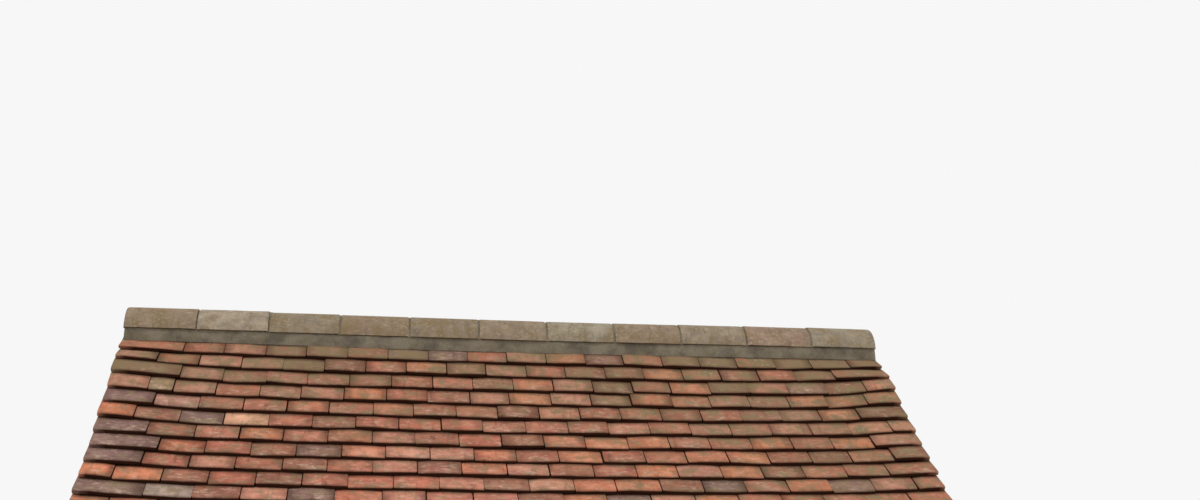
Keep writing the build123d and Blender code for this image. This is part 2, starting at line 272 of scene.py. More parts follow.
def end_rings(rows, columns):
    """Corner numbers of the first and the last row of a grid, each as one face."""
    ring = np.arange(columns)
    return np.stack([ring[::-1], ring + (rows - 1) * columns])


def at_vertices(values, rows, columns):
    """Values at all vertices of a grid, from grids that may have only one row or column."""
    spread = {}
    for name, value in values.items():
        rest = value.shape[2:]
        spread[name] = np.broadcast_to(value, (rows, columns, *rest)).reshape(-1, *rest)
    return spread


def repeated(points, groups, values):
    """A shape of many like bodies, from the points of all of them and the faces of the first.

    It has no places in the grain, because its finish reads none.
    """
    starts = np.arange(len(points))[:, None, None] * np.prod(points.shape[1:-1])
    faces = [(group + starts).reshape(-1, group.shape[1]) for group in groups]
    uvs = [np.zeros((*group.shape, 2)) for group in faces]
    return Shape(points.reshape(-1, 3), faces, uvs, values).outwards()


def flat_places(ring):
    """Places of a flat ring's points from its middle, along its first side and square to it."""
    first = ring[1] - ring[0]
    first = first / np.linalg.norm(first)
    second = np.cross(np.cross(first, ring[len(ring) // 2] - ring[0]), first)
    second = second / np.linalg.norm(second)
    places = ring - ring.mean(0)
    return np.stack([places @ first, places @ second], -1)


def around_outline(outline):
    """Distance round a closed outline at each of its points, and back at the first."""
    closed = np.concatenate([outline, outline[:1]])
    steps = np.linalg.norm(np.diff(closed, axis=0), axis=1)
    return np.concatenate([[0.0], np.cumsum(steps)])


def squared(rows, width, height, chamfer):
    """Outlines of a squared timber, four points a side, with their corners cut by the chamfer.

    Each side runs straight from chamfer to chamfer. All rows have one chamfer, or each its own.
    """
    cut = np.broadcast_to(chamfer, rows)[:, None]
    share = np.array([0.0, 1 / 3, 2 / 3, 1.0])
    run = (cut - width / 2) * (1 - 2 * share)
    rise = (cut - height / 2) * (1 - 2 * share)
    side = np.full_like(run, width / 2)
    top = np.full_like(rise, height / 2)
    across = np.concatenate([run, side, -run, -side], 1)
    upright = np.concatenate([-top, rise, top, -rise], 1)
    return np.stack([across, upright], -1)


WAVER_CONTRAST = 2.2


def waver(random, rows, columns, amount):
    """Slow unevenness from 0 to an amount: random values, smoothed along both ways of a grid and
    then spread out again about their middle."""
    field = random.random((rows + 4, columns))
    for _ in range(2):
        field = (np.roll(field, 1, 1) + 2 * field + np.roll(field, -1, 1)) / 4
        field = (field[:-2] + 2 * field[1:-1] + field[2:]) / 4
    return amount * np.clip(0.5 + WAVER_CONTRAST * (field - 0.5), 0, 1)


def uneven(outline, random, amount):
    """Shrinks outlines towards their middle by a slow unevenness from 0 to an amount."""
    rows, columns = outline.shape[:2]
    reach = np.linalg.norm(outline, axis=-1)
    shrink = 1 - waver(random, rows, columns, amount) / reach
    return outline * shrink[..., None]


def circle_points(turn):
    """Points of a unit circle at given angles."""
    return np.stack([np.cos(turn), np.sin(turn)], -1)


def stations(start, end, step, stops=()):
    """Places along a length, evenly spaced by about a step, with further ones at the stops."""
    count = max(2, int(np.ceil(abs(end - start) / step)) + 1)
    return np.unique(np.concatenate([np.linspace(start, end, count), np.array(stops)]))


# Unevenness of straight and of curved timbers, and the step between outlines of straight ones.
STRAIGHT_UNEVEN = 1.4 * MM
CURVED_UNEVEN = 1.2 * MM
TIMBER_STEP = 0.14


def timber(random, start, end, width, height, up, chamfer=None, stops=()):
    """A straight timber: a squared outline carried along the line from start to end.

    width lies across both the line and up, and height lies along up. chamfer works out the
    width of the cut corners from the places along the timber and its length.
    """
    span = np.linalg.norm(np.subtract(end, start))
    along = stations(0.0, span, TIMBER_STEP, stops)
    cut = chamfer(along, span) if chamfer else settings("oak").worn
    outline = uneven(squared(len(along), width, height, cut), random, STRAIGHT_UNEVEN)
    return grained(random, carried(outline, along, start, end, up), along, outline[0])


def carried(outline, along, start, end, up):
    """An outline set at each distance along the line from start to end. Its first numbers lie
    across both the line and up, and its second ones along up."""
    start, end, up = (np.array(part, float) for part in (start, end, up))
    direction = (end - start) / np.linalg.norm(end - start)
    points = start + along[:, None, None] * direction
    return points + outline[..., :1] * np.cross(direction, up) + outline[..., 1:] * up


# Width of the field of grain in which each timber has a place of its own.
GRAIN_FIELD = 20


def grained(random, points, along, outline):
    """A bar whose grain runs along it from a place of its own in the wood, with its own tone."""
    shift = random.random(2) * GRAIN_FIELD
    around = around_outline(outline)
    tone = {"tone": np.full((1, 1), random.random())}
    return bar(points, along + shift[0], around + shift[1], tone)


# Length of the curved stop of a chamfer, in widths of the chamfer.
STOP_LENGTH = 2


def chamfer_between_stops(along, span):
    """Width of the chamfer along a post: worn at the ends, full between two curved stops."""
    oak = settings("oak")
    from_end = np.minimum(along, span - along) - oak.chamfer_stop
    share = np.clip(from_end / (STOP_LENGTH * oak.chamfer), 0, 1)
    return oak.worn + (oak.chamfer - oak.worn) * np.sin(share * np.pi / 2)


def chamfer_places(span):
    """Places along a post where its chamfer starts, bends and ends."""
    oak = settings("oak")
    bends = oak.chamfer_stop + STOP_LENGTH * oak.chamfer * np.linspace(0.0, 1.0, 5)
    return np.concatenate([bends, span - bends])


# The swept roof


def slope_centre():
    """Y and Z of the centre of the back slope's arc, high up behind the gate."""
    roof = settings("roof")
    return roof.sweep * np.sin(roof.pitch), roof.apex + roof.sweep * np.cos(roof.pitch)


def slope_height(y, depth):
    """Height of a layer of the roof at a distance y from the ridge line."""
    centre_y, centre_z = slope_centre()
    return centre_z - np.sqrt((settings("roof").sweep + depth) ** 2 - (centre_y - y) ** 2)


def slope_distance(y, depth):
    """Distance down the slope at which a layer is a distance y from the ridge line."""
    roof = settings("roof")
    centre_y = slope_centre()[0]
    return roof.sweep * (roof.pitch - np.arcsin((centre_y - y) / (roof.sweep + depth)))


def on_slope(x, distance, depth, side):
    """Points of a slope. A point lies on a circle about the centre of the slope's arc, larger
    than the sweep by its depth, and turned down from the ridge by distance over sweep.
    side is 1 at the back and -1 at the front."""
    roof = settings("roof")
    x, distance, depth = np.broadcast_arrays(x, distance, depth)
    centre_y, centre_z = slope_centre()
    angle = roof.pitch - distance / roof.sweep
    radius = roof.sweep + depth
    y = side * (centre_y - radius * np.sin(angle))
    return np.stack([x, y, centre_z - radius * np.cos(angle)], -1)


def tail_end():
    """Distance down the slope of the last tails."""
    roof = settings("roof")
    return roof.gauge * roof.courses


def board_end():
    """Distance down the slope of the ends of the boards and of the undercloaks."""
    return tail_end() - settings("roof").tail_overhang


def under_rafters():
    """Depth of the undersides of the rafters under the tail lines."""
    roof = settings("roof")
    return roof.tiling_depth + roof.board_thickness + roof.rafter_depth


# How the lift of the verges changes down the slope: the distances from the ridge between which
# each change sets in, and how much it adds. The lift starts below the ridge mortar. It is nearly
# twice the verge lift in the top courses, half as much again below them, and then even.
LIFT_CHANGES = ((0.19, 0.43, 1.85), (0.5, 0.6, -0.35), (0.75, 1.3, -0.5))


def lift_of_tiles(x, distance):
    """Rise of the tiling over its even surface.

    Towards a verge it is the verge lift times the sum of the changes down to there, over e to
    the power of the distance inwards over the reach to the power of 1.5. The sag is a squared
    cosine along the roof, and down the slope a sine from the ridge to the tails.
    """
    roof = settings("roof")
    inwards = np.clip(HALF_LENGTH - np.abs(x), 0, HALF_LENGTH)
    lift = roof.verge_lift * np.exp(-(inwards / roof.verge_reach) ** 1.5)
    lift = lift * sum(change * ease(distance, low, high) for low, high, change in LIFT_CHANGES)
    way_down = np.clip(distance / tail_end(), 0, 1)
    sag = np.cos(np.pi * x / (2 * HALF_LENGTH)) ** 2 * np.sin(np.pi * way_down)
    return lift - roof.sag * sag


def ease(value, low, high):
    """0 up to low and 1 from high, with a smooth cubic between them."""
    share = np.clip((value - low) / (high - low), 0, 1)
    return share * share * (3 - 2 * share)


# Step between the outlines of a rafter, and the length of the slope over its reach in Y, about.
RAFTER_STEP = 0.12
SLOPE_OVER_REACH = 1.4


def slope_member(random, x_middle, width, top, underside, y_start, y_end, side):
    """A curved timber down the slope between two depths, with plumb cuts at both ends.

    Each point of the outline keeps its depth, and goes from the plumb plane at y_start to the
    one at y_end in even shares of its own way down the slope. The unevenness along the timber
    comes on top of one that the whole outline has.
    """
    outline = squared(2, width, underside - top, settings("oak").worn)
    outline = uneven(outline, random, CURVED_UNEVEN)[:1]
    rows = int(np.ceil((y_end - y_start) * SLOPE_OVER_REACH / RAFTER_STEP)) + 1
    outline = uneven(np.repeat(outline, rows, 0), random, CURVED_UNEVEN)
    depth = (top + underside) / 2 - outline[..., 1]
    start = slope_distance(y_start, depth)
    end = slope_distance(y_end, depth)
    distance = start + np.linspace(0, 1, rows)[:, None] * (end - start)
    points = on_slope(x_middle + outline[..., 0], distance, depth, side)
    return grained(random, points, distance.mean(1), outline[0])


# Objects and materials


def make_piece(name, shape, finish, *nodes, sharp=32.0):
    """Puts a shape into a mesh and makes it a piece of the gate that stands for CAD nodes.

    The material of its finish is made when it is first asked for. Edges where the faces turn by
    more than the sharp angle, in degrees, stay sharp.
    """
    if not np.isfinite(shape.vertices).all():
        raise ValueError(name + " has vertices without a place")
    mesh = bpy.data.meshes.new(name)
    corners = np.concatenate([group.ravel() for group in shape.faces]).astype(np.int32)
    counts = np.concatenate([np.full(len(group), group.shape[1]) for group in shape.faces])
    starts = np.concatenate([[0], np.cumsum(counts)[:-1]]).astype(np.int32)
    mesh.vertices.add(len(shape.vertices))
    mesh.vertices.foreach_set("co", shape.vertices.astype(np.float32).ravel())
    mesh.loops.add(len(corners))
    mesh.loops.foreach_set("vertex_index", corners)
    mesh.polygons.add(len(counts))
    mesh.polygons.foreach_set("loop_start", starts)
    layer = mesh.uv_layers.new(name="grain")
    flat = np.concatenate([group.reshape(-1, 2) for group in shape.uvs]).astype(np.float32)
    layer.data.foreach_set("uv", flat.ravel())
    for value_name, value in shape.values.items():
        add_value(mesh, value_name, value)
    mesh.update(calc_edges=True)
    if mesh.validate():
        raise RuntimeError(name + " has faces that do not make a mesh")
    mesh.shade_smooth()
    mesh.set_sharp_from_angle(angle=np.radians(sharp))
    slot, maker, *choices = FINISHES[finish]
    mesh.materials.append(bpy.data.materials.get(finish) or maker(finish, *choices))
    piece = bpy.data.objects.new(name, mesh)
    bpy.context.scene.collection.objects.link(piece)
    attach(piece, BODY)
    if nodes:
        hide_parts(*nodes)


def oak_piece(shape, *nodes, name=None):
    """Makes a shape a piece of the oak frame, named after its node if it gets no name."""
    make_piece(name or f"{nodes[0]}_oak", shape, "weathered_oak", *nodes)


def add_value(mesh, name, value):
    """Stores a number or a colour at each vertex."""
    if value.ndim == 1:
        attribute = mesh.attributes.new(name, "FLOAT", "POINT")
        attribute.data.foreach_set("value", value.astype(np.float32))
        return
    attribute = mesh.attributes.new(name, "FLOAT_COLOR", "POINT")
    opaque = np.concatenate([value, np.ones((len(value), 1))], 1)
    attribute.data.foreach_set("color", opaque.astype(np.float32).ravel())


def start_material(name, roughness, gloss):
    """A material with a bare shader of a given roughness and gloss."""
    material = bpy.data.materials.new(name)
    material.use_nodes = True
    tree = material.node_tree
    tree.nodes.clear()
    output = tree.nodes.new("ShaderNodeOutputMaterial")
    surface = tree.nodes.new("ShaderNodeBsdfPrincipled")
    surface.inputs["Roughness"].default_value = roughness
    surface.inputs["Specular IOR Level"].default_value = gloss
    tree.links.new(surface.outputs[0], output.inputs[0])
    return material, tree, surface


def node(tree, kind, inputs=(), **choices):
    """Adds a node; inputs name sockets and give each a value or the socket that feeds it."""
    made = tree.nodes.new("ShaderNode" + kind)
    for choice, value in choices.items():
        setattr(made, choice, value)
    for socket, value in dict(inputs).items():
        if isinstance(value, bpy.types.NodeSocket):
            tree.links.new(value, made.inputs[socket])
        else:
            made.inputs[socket].default_value = value
    return made


def place_in_object(tree):
    """Coordinates fixed to the gate."""
    return node(tree, "TexCoord").outputs["Object"]


def stretched(tree, vector, scale):
    """Coordinates stretched by a scale for each direction."""
    return node(tree, "Mapping", {"Vector": vector, "Scale": scale}).outputs[0]


def noise(tree, vector, scale, detail=4.0, roughness=0.6):
    """Cloudy values about one half."""
    inputs = {"Vector": vector, "Scale": scale, "Detail": detail, "Roughness": roughness}
    return node(tree, "TexNoise", inputs).outputs["Fac"]


def between(tree, value, low, high, start=0.0, end=1.0):
    """A value stretched so that low and high become start and end, and held there."""
    inputs = {"Value": value, "From Min": low, "From Max": high, "To Min": start, "To Max": end}
    return node(tree, "MapRange", inputs, interpolation_type="SMOOTHSTEP").outputs[0]


def times(tree, first, second):
    """The product of two numbers."""
    return node(tree, "Math", {0: first, 1: second}, operation="MULTIPLY").outputs[0]


def plus(tree, first, second):
    """The sum of two numbers."""
    return node(tree, "Math", {0: first, 1: second}, operation="ADD").outputs[0]


def blend(tree, share, first, second, kind="MIX"):
    """Mixes two colours, or tints the first by the second."""
    inputs = {0: share, 6: padded(first), 7: padded(second)}
    return node(tree, "Mix", inputs, data_type="RGBA", blend_type=kind).outputs[2]


def padded(value):
    """A colour with its fourth number, or a socket as it is."""
    return value if isinstance(value, bpy.types.NodeSocket) else (*value[:3], 1.0)


def value_at(tree, name, output="Fac"):
    """A number or colour that the mesh holds at its vertices."""
    return node(tree, "Attribute", attribute_name=name).outputs[output]


def dress(tree, surface, body, height, strength, distance):
    """Gives a shader its colour, and bump from a height."""
    tree.links.new(body, surface.inputs["Base Color"])
    bump = node(tree, "Bump", {"Height": height, "Strength": strength, "Distance": distance})
    tree.links.new(bump.outputs[0], surface.inputs["Normal"])


def shaded(tree, base, level):
    """A colour made darker or lighter by an even level."""
    return blend(tree, 1.0, base, (level, level, level), "MULTIPLY")


def laid_over(tree, body, colour, pattern, low, high, most=1.0):
    """A colour laid over the body: not at all where the pattern is low, most where it is high."""
    return blend(tree, between(tree, pattern, low, high, 0.0, most), body, colour)


def crusts(tree, place, fineness, rim, heart, patch):
    """Round crusts, each filling from its rim to its heart, only where the patch allows them."""
    cells = node(tree, "TexVoronoi", {"Vector": place, "Scale": fineness, "Randomness": 1.0})
    return times(tree, between(tree, cells.outputs["Distance"], rim, heart), patch)


def clay_material(name, crust):
    """Weathered clay: a tint for each tile with firing clouds, sand and streaks, then bloom on
    faces and arrises with a painted highlight on the worn arrises, growth, an olive film, lichen,
    and soil with painted shade on and under the tails. More crust is more lichen."""
    tones = settings("colours")
    material, tree, surface = start_material(name, 0.9, 0.12)
    place = place_in_object(tree)
    tint = value_at(tree, "tint", "Color")
    moss = value_at(tree, "moss")
    clouds = noise(tree, place, 17.0, 5.0, 0.62)
    body = laid_over(tree, shaded(tree, tint, 0.74), shaded(tree, tint, 1.13), clouds, 0.34, 0.66)
    sand = noise(tree, place, 210.0, 3.0, 0.75)
    body = laid_over(tree, body, shaded(tree, body, 0.66), sand, 0.35, 0.68, 0.45)
    streaks = noise(tree, stretched(tree, place, (48.0, 9.0, 9.0)), 1.0, 4.0, 0.6)
    body = laid_over(tree, body, tones.soil_and_shade, streaks, 0.52, 0.74, 0.42)
    flecks = noise(tree, stretched(tree, place, (34.0, 60.0, 60.0)), 1.0, 5.0, 0.7)
    # The worn tail arris: lime bloom with a painted highlight.
    rubbed_and_lit = times(tree, value_at(tree, "worn"), between(tree, flecks, 0.36, 0.62, 0.0, 0.75))
    bloom_and_highlight = plus(tree, between(tree, flecks, 0.51, 0.70, 0.0, 0.42), rubbed_and_lit)
    body = blend(tree, bloom_and_highlight, body, tones.bloom_and_highlight)
    patina = times(tree, moss, between(tree, clouds, 0.30, 0.62, 0.35, 1.0))
    body = blend(tree, patina, body, tones.moss)
    film = noise(tree, place, 15.0, 6.0, 0.68)
    damp = times(tree, moss, between(tree, film, 0.40, 0.60))
    olive = plus(tree, between(tree, film, 0.47, 0.64, 0.0, 0.6), damp)
    body = blend(tree, olive, body, tones.algae)
    patch = between(tree, noise(tree, place, 7.5, 3.0), 0.60 - crust, 0.70 - crust)
    spots = crusts(tree, place, 62.0, 0.46, 0.2, patch)
    body = blend(tree, times(tree, spots, 0.4), body, tones.lichen)
    # Soil on the tiles, with painted shade on the tails and in a band below each tail.
    body = blend(tree, value_at(tree, "soil_and_shade"), body, tones.soil_and_shade)
    pits = plus(tree, times(tree, sand, 0.5), times(tree, clouds, 0.9))
    dress(tree, surface, body, plus(tree, pits, times(tree, spots, 0.35)), 0.55, 0.0022)
    return material


def mortar_material(name, tone):
    """Lime mortar of a named colour: sandy, stained, with darker growth in places."""
    tones = settings("colours")
    fresh = getattr(tones, tone)
    material, tree, surface = start_material(name, 0.93, 0.2)
    place = place_in_object(tree)
    stain = noise(tree, place, 9.0, 5.0, 0.65)
    sand = noise(tree, place, 260.0, 2.0, 0.8)
    growth = noise(tree, place, 24.0, 4.0)
    body = laid_over(tree, fresh, shaded(tree, fresh, 0.5), stain, 0.36, 0.66)
    body = laid_over(tree, body, tones.moss, growth, 0.5, 0.7, 0.6)
    body = laid_over(tree, body, tones.soil_and_shade, sand, 0.45, 0.7, 0.35)
    dress(tree, surface, body, plus(tree, sand, stain), 0.6, 0.002)
    return material


SILVER_GREY = (0.36, 0.35, 0.33)
CHECK_SHADE = (0.025, 0.019, 0.014)


def oak_material(name, tone, grain_scale):
    """Weathered oak of a named colour, its grain along the first UV axis: silvered patches, a
    tone for each timber, broad figure, fibres and checks."""
    tones = settings("colours")
    pale = getattr(tones, tone)
    material, tree, surface = start_material(name, 0.74, 0.25)
    grain = node(tree, "UVMap", uv_map="grain").outputs[0]
    figure = noise(tree, stretched(tree, grain, (1.3, 15.0 * grain_scale, 1.0)), 1.0, 3.0, 0.55)
    fibre = noise(tree, stretched(tree, grain, (6.0, 300.0, 1.0)), 1.0, 5.0, 0.75)
    checks = noise(tree, stretched(tree, grain, (1.5, 58.0, 1.0)), 1.0, 2.0, 0.4)
    weather = noise(tree, place_in_object(tree), 2.3, 3.0, 0.6)
    silver = blend(tree, 0.55, pale, SILVER_GREY)
    body = laid_over(tree, pale, silver, weather, 0.36, 0.66)
    body = laid_over(tree, body, shaded(tree, body, 0.55), value_at(tree, "tone"), 0.0, 1.0, 0.4)
    body = laid_over(tree, body, tones.oak_dark, figure, 0.42, 0.66, 0.62)
    body = laid_over(tree, body, tones.oak_dark, fibre, 0.44, 0.66, 0.7)
    crack = between(tree, checks, 0.655, 0.675)
    body = blend(tree, times(tree, crack, 0.85), body, CHECK_SHADE)
    relief = plus(tree, times(tree, fibre, 0.6), times(tree, figure, 0.8))
    relief = plus(tree, relief, times(tree, crack, -1.5))
    dress(tree, surface, body, relief, 0.5, 0.0018)
    return material


def stone_material(name):
    """Weathered limestone: soft clouds, dark specks, lichen crusts, and soil under the edges."""
    tones = settings("colours")
    material, tree, surface = start_material(name, 0.9, 0.25)
    place = place_in_object(tree)
    clouds = noise(tree, place, 5.0, 6.0, 0.62)
    fine = noise(tree, place, 120.0, 3.0, 0.7)
    dark = shaded(tree, tones.stone, 0.42)
    body = laid_over(tree, tones.stone, dark, clouds, 0.40, 0.70)
    body = laid_over(tree, body, dark, fine, 0.5, 0.75, 0.4)
    patch = between(tree, noise(tree, place, 6.0, 3.0), 0.5, 0.62)
    spots = crusts(tree, place, 34.0, 0.5, 0.3, patch)
    body = blend(tree, times(tree, spots, 0.75), body, tones.lichen)
    body = blend(tree, value_at(tree, "soil_and_shade"), body, tones.soil_and_shade)
    relief = plus(tree, plus(tree, clouds, times(tree, fine, 0.4)), spots)
    dress(tree, surface, body, relief, 0.5, 0.003)
    return material


KILN_SHADE = (0.58, 0.5, 0.5)


def brick_material(name):
    """Soft red brick: a tint for each brick, kiln clouds, sand, and growth in the damp foot."""
    tones = settings("colours")
    material, tree, surface = start_material(name, 0.9, 0.2)
    place = place_in_object(tree)
    tint = value_at(tree, "tint", "Color")
    clouds = noise(tree, place, 13.0, 5.0, 0.65)
    sand = noise(tree, place, 190.0, 3.0, 0.75)
    burnt = blend(tree, 1.0, tint, KILN_SHADE, "MULTIPLY")
    body = laid_over(tree, tint, burnt, clouds, 0.42, 0.7)
    body = laid_over(tree, body, shaded(tree, body, 0.6), sand, 0.42, 0.7, 0.5)
    growth = times(tree, value_at(tree, "soil_and_shade"), between(tree, clouds, 0.3, 0.6, 0.3, 0.8))
    body = blend(tree, growth, body, tones.moss)
    dress(tree, surface, body, plus(tree, times(tree, sand, 0.6), clouds), 0.6, 0.003)
    return material


# Each finish by the name of its material: its slot, the function that makes it and its choices.
FINISHES = {
    "plain_tile_clay": ("clay_tile", clay_material, 0.02),
    "ridge_tile_clay": ("ridge_tile", clay_material, 0.14),
    "lime_mortar": ("mortar", mortar_material, "mortar"),
    "ridge_mortar": ("mortar", mortar_material, "old_mortar"),
    "weathered_oak": ("oak", oak_material, "oak", 1.0),
    "roof_boarding": ("boarding", oak_material, "board", 0.6),
    "coping_limestone": ("coping_stone", stone_material),
    "soft_red_brick": ("brick", brick_material),
}


# Plain tiles


# The tones that the tints of the tiles are drawn from, and how often each comes.
PALETTE = ("red", "orange", "pink", "brown", "plum", "buff")
PALETTE_SHARES = (0.38, 0.17, 0.20, 0.18, 0.05, 0.02)

# The most of a second tone in a tint, and the spreads of the tints between tiles, between the
# sides of a tile, and there between red, green and blue.
SECOND_TONE = 0.45
TINT_SPREAD = 0.06
SIDE_SPREAD = 0.08
HUE_SPREAD = 0.025

# Widths in tile pitches of the first tiles of even and odd courses, their spread, the least
# width of a last tile, and the spread of the joints' places.
VERGE_WIDTHS = (1.0, 1.5)
VERGE_WIDTH_SPREAD = 0.12
LEAST_WIDTH = 0.45
JOINT_SHIFT = 0.012

# Widths and tones of the tiles at the west verge of the front slope, by course. In one course
# that tile is cut short, and a half tile follows it.
FIRST_TILES = {
    4: (0.98, "pink"), 5: (1.62, "brown"), 6: (1.51, "pink"), 7: (1.18, "plum"),
    8: (0.81, "orange"), 9: (1.2, "plum"), 10: (1.52, "plum"), 11: (1.24, "plum"),
    12: (0.72, "orange"), 13: (1.45, "plum"), 14: (0.78, "orange"),
}
HALF_TILE_COURSE = 6
HALF_TILE_START = 0.96

# Tones of other tiles there that stand out, by course and by number of tiles before them.
SINGLE_TILES = {
    (5, 1): "pink", (6, 1): "buff", (6, 2): "pink", (8, 1): "brown", (8, 2): "plum",
    (8, 3): "pale", (12, 1): "orange", (13, 1): "grey",
}

# Growth: its level at the ridge and its spread, how far down it reaches, the further growth in
# the east, which also stands in for painted shade there, its spread and the places between which
# it sets in, and the most of all growth.
PATINA = 0.62
PATINA_SPREAD = 0.26
PATINA_REACH = 0.9
EAST_GROWTH_AND_SHADE = 0.3
EAST_GROWTH_AND_SHADE_SPREAD = 0.05
EAST_GROWTH_AND_SHADE_END = (-0.3, 1.5)
GROWTH_MOST = 0.85

# Soil in the joints and its spread, the share of all soil and painted shade left on the verges,
# and how much of the worn arris with its painted highlight shows, with its spread.
JOINT_SOIL = 0.4
JOINT_SOIL_SPREAD = 0.35
VERGE_SOIL_AND_SHADE = 0.35
WEAR_AND_LIGHT = 0.25
WEAR_AND_LIGHT_SPREAD = 0.45

# Sides of the tiles: what the widest joint takes off each, their unevenness, how far the corners
# of the tail are drawn in, the strip that counts as the verge, and how ragged that is.
JOINT_SPREAD = 2.8 * MM
SIDE_UNEVEN = 0.45 * MM
CORNER_DRAWN = 1.2 * MM
VERGE_STRIP = 20 * MM
VERGE_RAGGED = 6 * MM

# Courses under the ridge mortar, and how much shorter and narrower they are.
COVERED_COURSES = 2
RIDGE_COVER = 16 * MM
COVERED_INSET = 12 * MM

# Tails: the spread of their places and of their slant, their rounded corners with the spread of
# that, their unevenness, and their thickness over that of the tile.
TAIL_SHIFT = 2.2 * MM
TAIL_SLANT = 0.012
ROUNDING = 3.0 * MM
ROUNDING_SPREAD = 1.0 * MM
TAIL_UNEVEN = 0.7 * MM
TAIL_THICKNESS = 1.2

# Faces: the camber along and across a tile and the spread of both, the drop of the corners, the
# lift of the tails, its spread and what the verge adds, the twist, and the unevenness.
CAMBER = 1.8 * MM
CROSS_CAMBER = 0.7 * MM
CAMBER_SPREAD = 1.1 * MM
CORNER_DROP = 1.3 * MM
TAIL_LIFT = 3.6 * MM
TAIL_LIFT_SPREAD = 2.4 * MM
VERGE_TAIL_LIFT = 5 * MM
TWIST = 3.2 * MM
FACE_UNEVEN = 0.2 * MM

# The short course under the eaves: its length, setback, depth and slope under the tail lines.
EAVES_LENGTH = 0.11
EAVES_SETBACK = 4 * MM
EAVES_DEPTH = 15.5 * MM
EAVES_TILT = 0.08

# Closed profile of a tile: distance up from the tail as a share of the length, share of the
# thickness below the top, soil with painted shade, and wear with a painted highlight. The top is
# soiled where the tile above covers it, with a band of painted shade just below that tile's tail,
# its face is worn pale towards the tail by lime bloom and a painted highlight on the arris, and
# the tail itself is dark with soil and painted shade.
TILE_PROFILE = np.array([
    (1.0, 0.0, 1.0, 0.0),
    (0.72, 0.0, 1.0, 0.0),
    (0.535, 0.0, 1.0, 0.0),
    (0.475, 0.0, 0.45, 0.0),
    (0.39, 0.0, 0.0, 0.0),
    (0.10, 0.0, 0.05, 0.6),
    (0.03, 0.02, 0.36, 0.8),
    (0.0, 0.2, 1.0, 0.0),
    (0.0, 1.0, 1.0, 0.0),
    (0.5, 1.0, 1.0, 0.0),
    (1.0, 1.0, 1.0, 0.0),
])
# The soil column is dirt with painted shade, and the worn column lime bloom with a painted
# highlight.
ALONG, BELOW, SOIL_AND_SHADE, WORN_AND_LIT = TILE_PROFILE.T

# Shares of a tile's width at which the profile stands, and how near each is to an edge.
ACROSS = np.array([0.0, 0.016, 0.26, 0.5, 0.74, 0.984, 1.0])[None, :, None]
AT_EDGE = np.abs(2 * ACROSS - 1) ** 14

# How near each point of the profile is to the tail, over the last share of the length.
TAIL_SHARE = 0.08
AT_TAIL = np.clip(1 - ALONG / TAIL_SHARE, 0, 1)


def course_edges(random, course, mirrored):
    """Left edges and widths of the tiles of a course, from verge to verge.

    Each course starts with a verge tile of its own width, so that the joints are broken, and a
    remainder under the least width is taken into the last tile. One course of the front slope
    has a half tile after the verge tile.
    """
    roof = settings("roof")
    span = 2 * HALF_LENGTH / roof.tile_width
    if course in FIRST_TILES and not mirrored:
        first = FIRST_TILES[course][0]
    else:
        first = VERGE_WIDTHS[course % 2] + random.uniform(-VERGE_WIDTH_SPREAD, VERGE_WIDTH_SPREAD)
    edges = np.arange(first, span, 1.0)
    edges = edges[edges < span - LEAST_WIDTH]
    edges = edges + random.normal(0, JOINT_SHIFT, len(edges))
    if course == HALF_TILE_COURSE and not mirrored:
        edges = np.concatenate([[HALF_TILE_START], edges])
    bounds = np.concatenate([[0.0], edges, [span]]) * roof.tile_width - HALF_LENGTH
    return bounds[:-1], np.diff(bounds)


def course_tints(random, course, count, mirrored):
    """Two colours for each tile of a course, at its left and right side.

    A tint is one tone of the palette with a share of another, a little brighter or darker.
    """
    tones = settings("colours")
    palette = np.array([getattr(tones, name)[:] for name in PALETTE])
    pick = random.choice(len(PALETTE), size=count, p=PALETTE_SHARES)
    second = random.choice(len(PALETTE), size=count, p=PALETTE_SHARES)
    share = random.random((count, 1)) * SECOND_TONE
    tint = palette[pick] * (1 - share) + palette[second] * share
    tint *= random.normal(1.0, TINT_SPREAD, (count, 1))
    if not mirrored:
        chosen = {place: name for (row, place), name in SINGLE_TILES.items() if row == course}
        if course in FIRST_TILES:
            chosen[0] = FIRST_TILES[course][1]
        for place, name in chosen.items():
            tint[place] = getattr(tones, name)[:]
    other = tint * random.normal(1.0, SIDE_SPREAD, (count, 1))
    other = other * random.normal(1.0, HUE_SPREAD, (count, 3))
    return np.clip(np.stack([tint, other], 1), 0.01, 1)


def laid_courses(random, mirrored):
    """Left edges, widths and tail lines of all tiles of a slope, whether each is in the short
    course under the eaves, and their tints."""
    roof = settings("roof")
    courses = []
    for course in range(1, roof.courses + 2):
        left, width = course_edges(random, course, mirrored)
        shortened = RIDGE_COVER if course <= COVERED_COURSES else 0.0
        tail = np.full(len(left), min(course, roof.courses) * roof.gauge - shortened)
        eaves = np.full(len(left), course > roof.courses)
        tints = course_tints(random, course, len(left), mirrored)
        courses.append((left, width, tail, eaves, tints))
    return [np.concatenate(column) for column in zip(*courses)]


def differences(random, count, spread, shape=(1, 1)):
    """Random differences about nothing, one for each tile or one for each point of a grid."""
    return random.normal(0, spread, (count, *shape))


def tile_sides(random, each, left, width, tail):
    """Places along the ridge of the tiles' points, and whether they are at a verge.

    The joints differ in width, mostly narrow. The verge is a little ragged, and its covered
    tiles stop short of the end of the ridge mortar.
    """
    roof = settings("roof")
    gap = roof.tile_joint / 2 + random.random(left.shape) ** 3 * JOINT_SPREAD
    x = left + gap + ACROSS * (width - 2 * gap) + each(SIDE_UNEVEN, (ACROSS.size, 1))
    x = x - (2 * ACROSS - 1) * AT_EDGE * AT_TAIL * CORNER_DRAWN
    verge = np.abs(x) > HALF_LENGTH - VERGE_STRIP
    covered = tail < (COVERED_COURSES + 0.5) * roof.gauge
    ragged = random.random(left.shape) * VERGE_RAGGED
    return x - np.sign(x) * verge * (ragged + covered * COVERED_INSET), verge


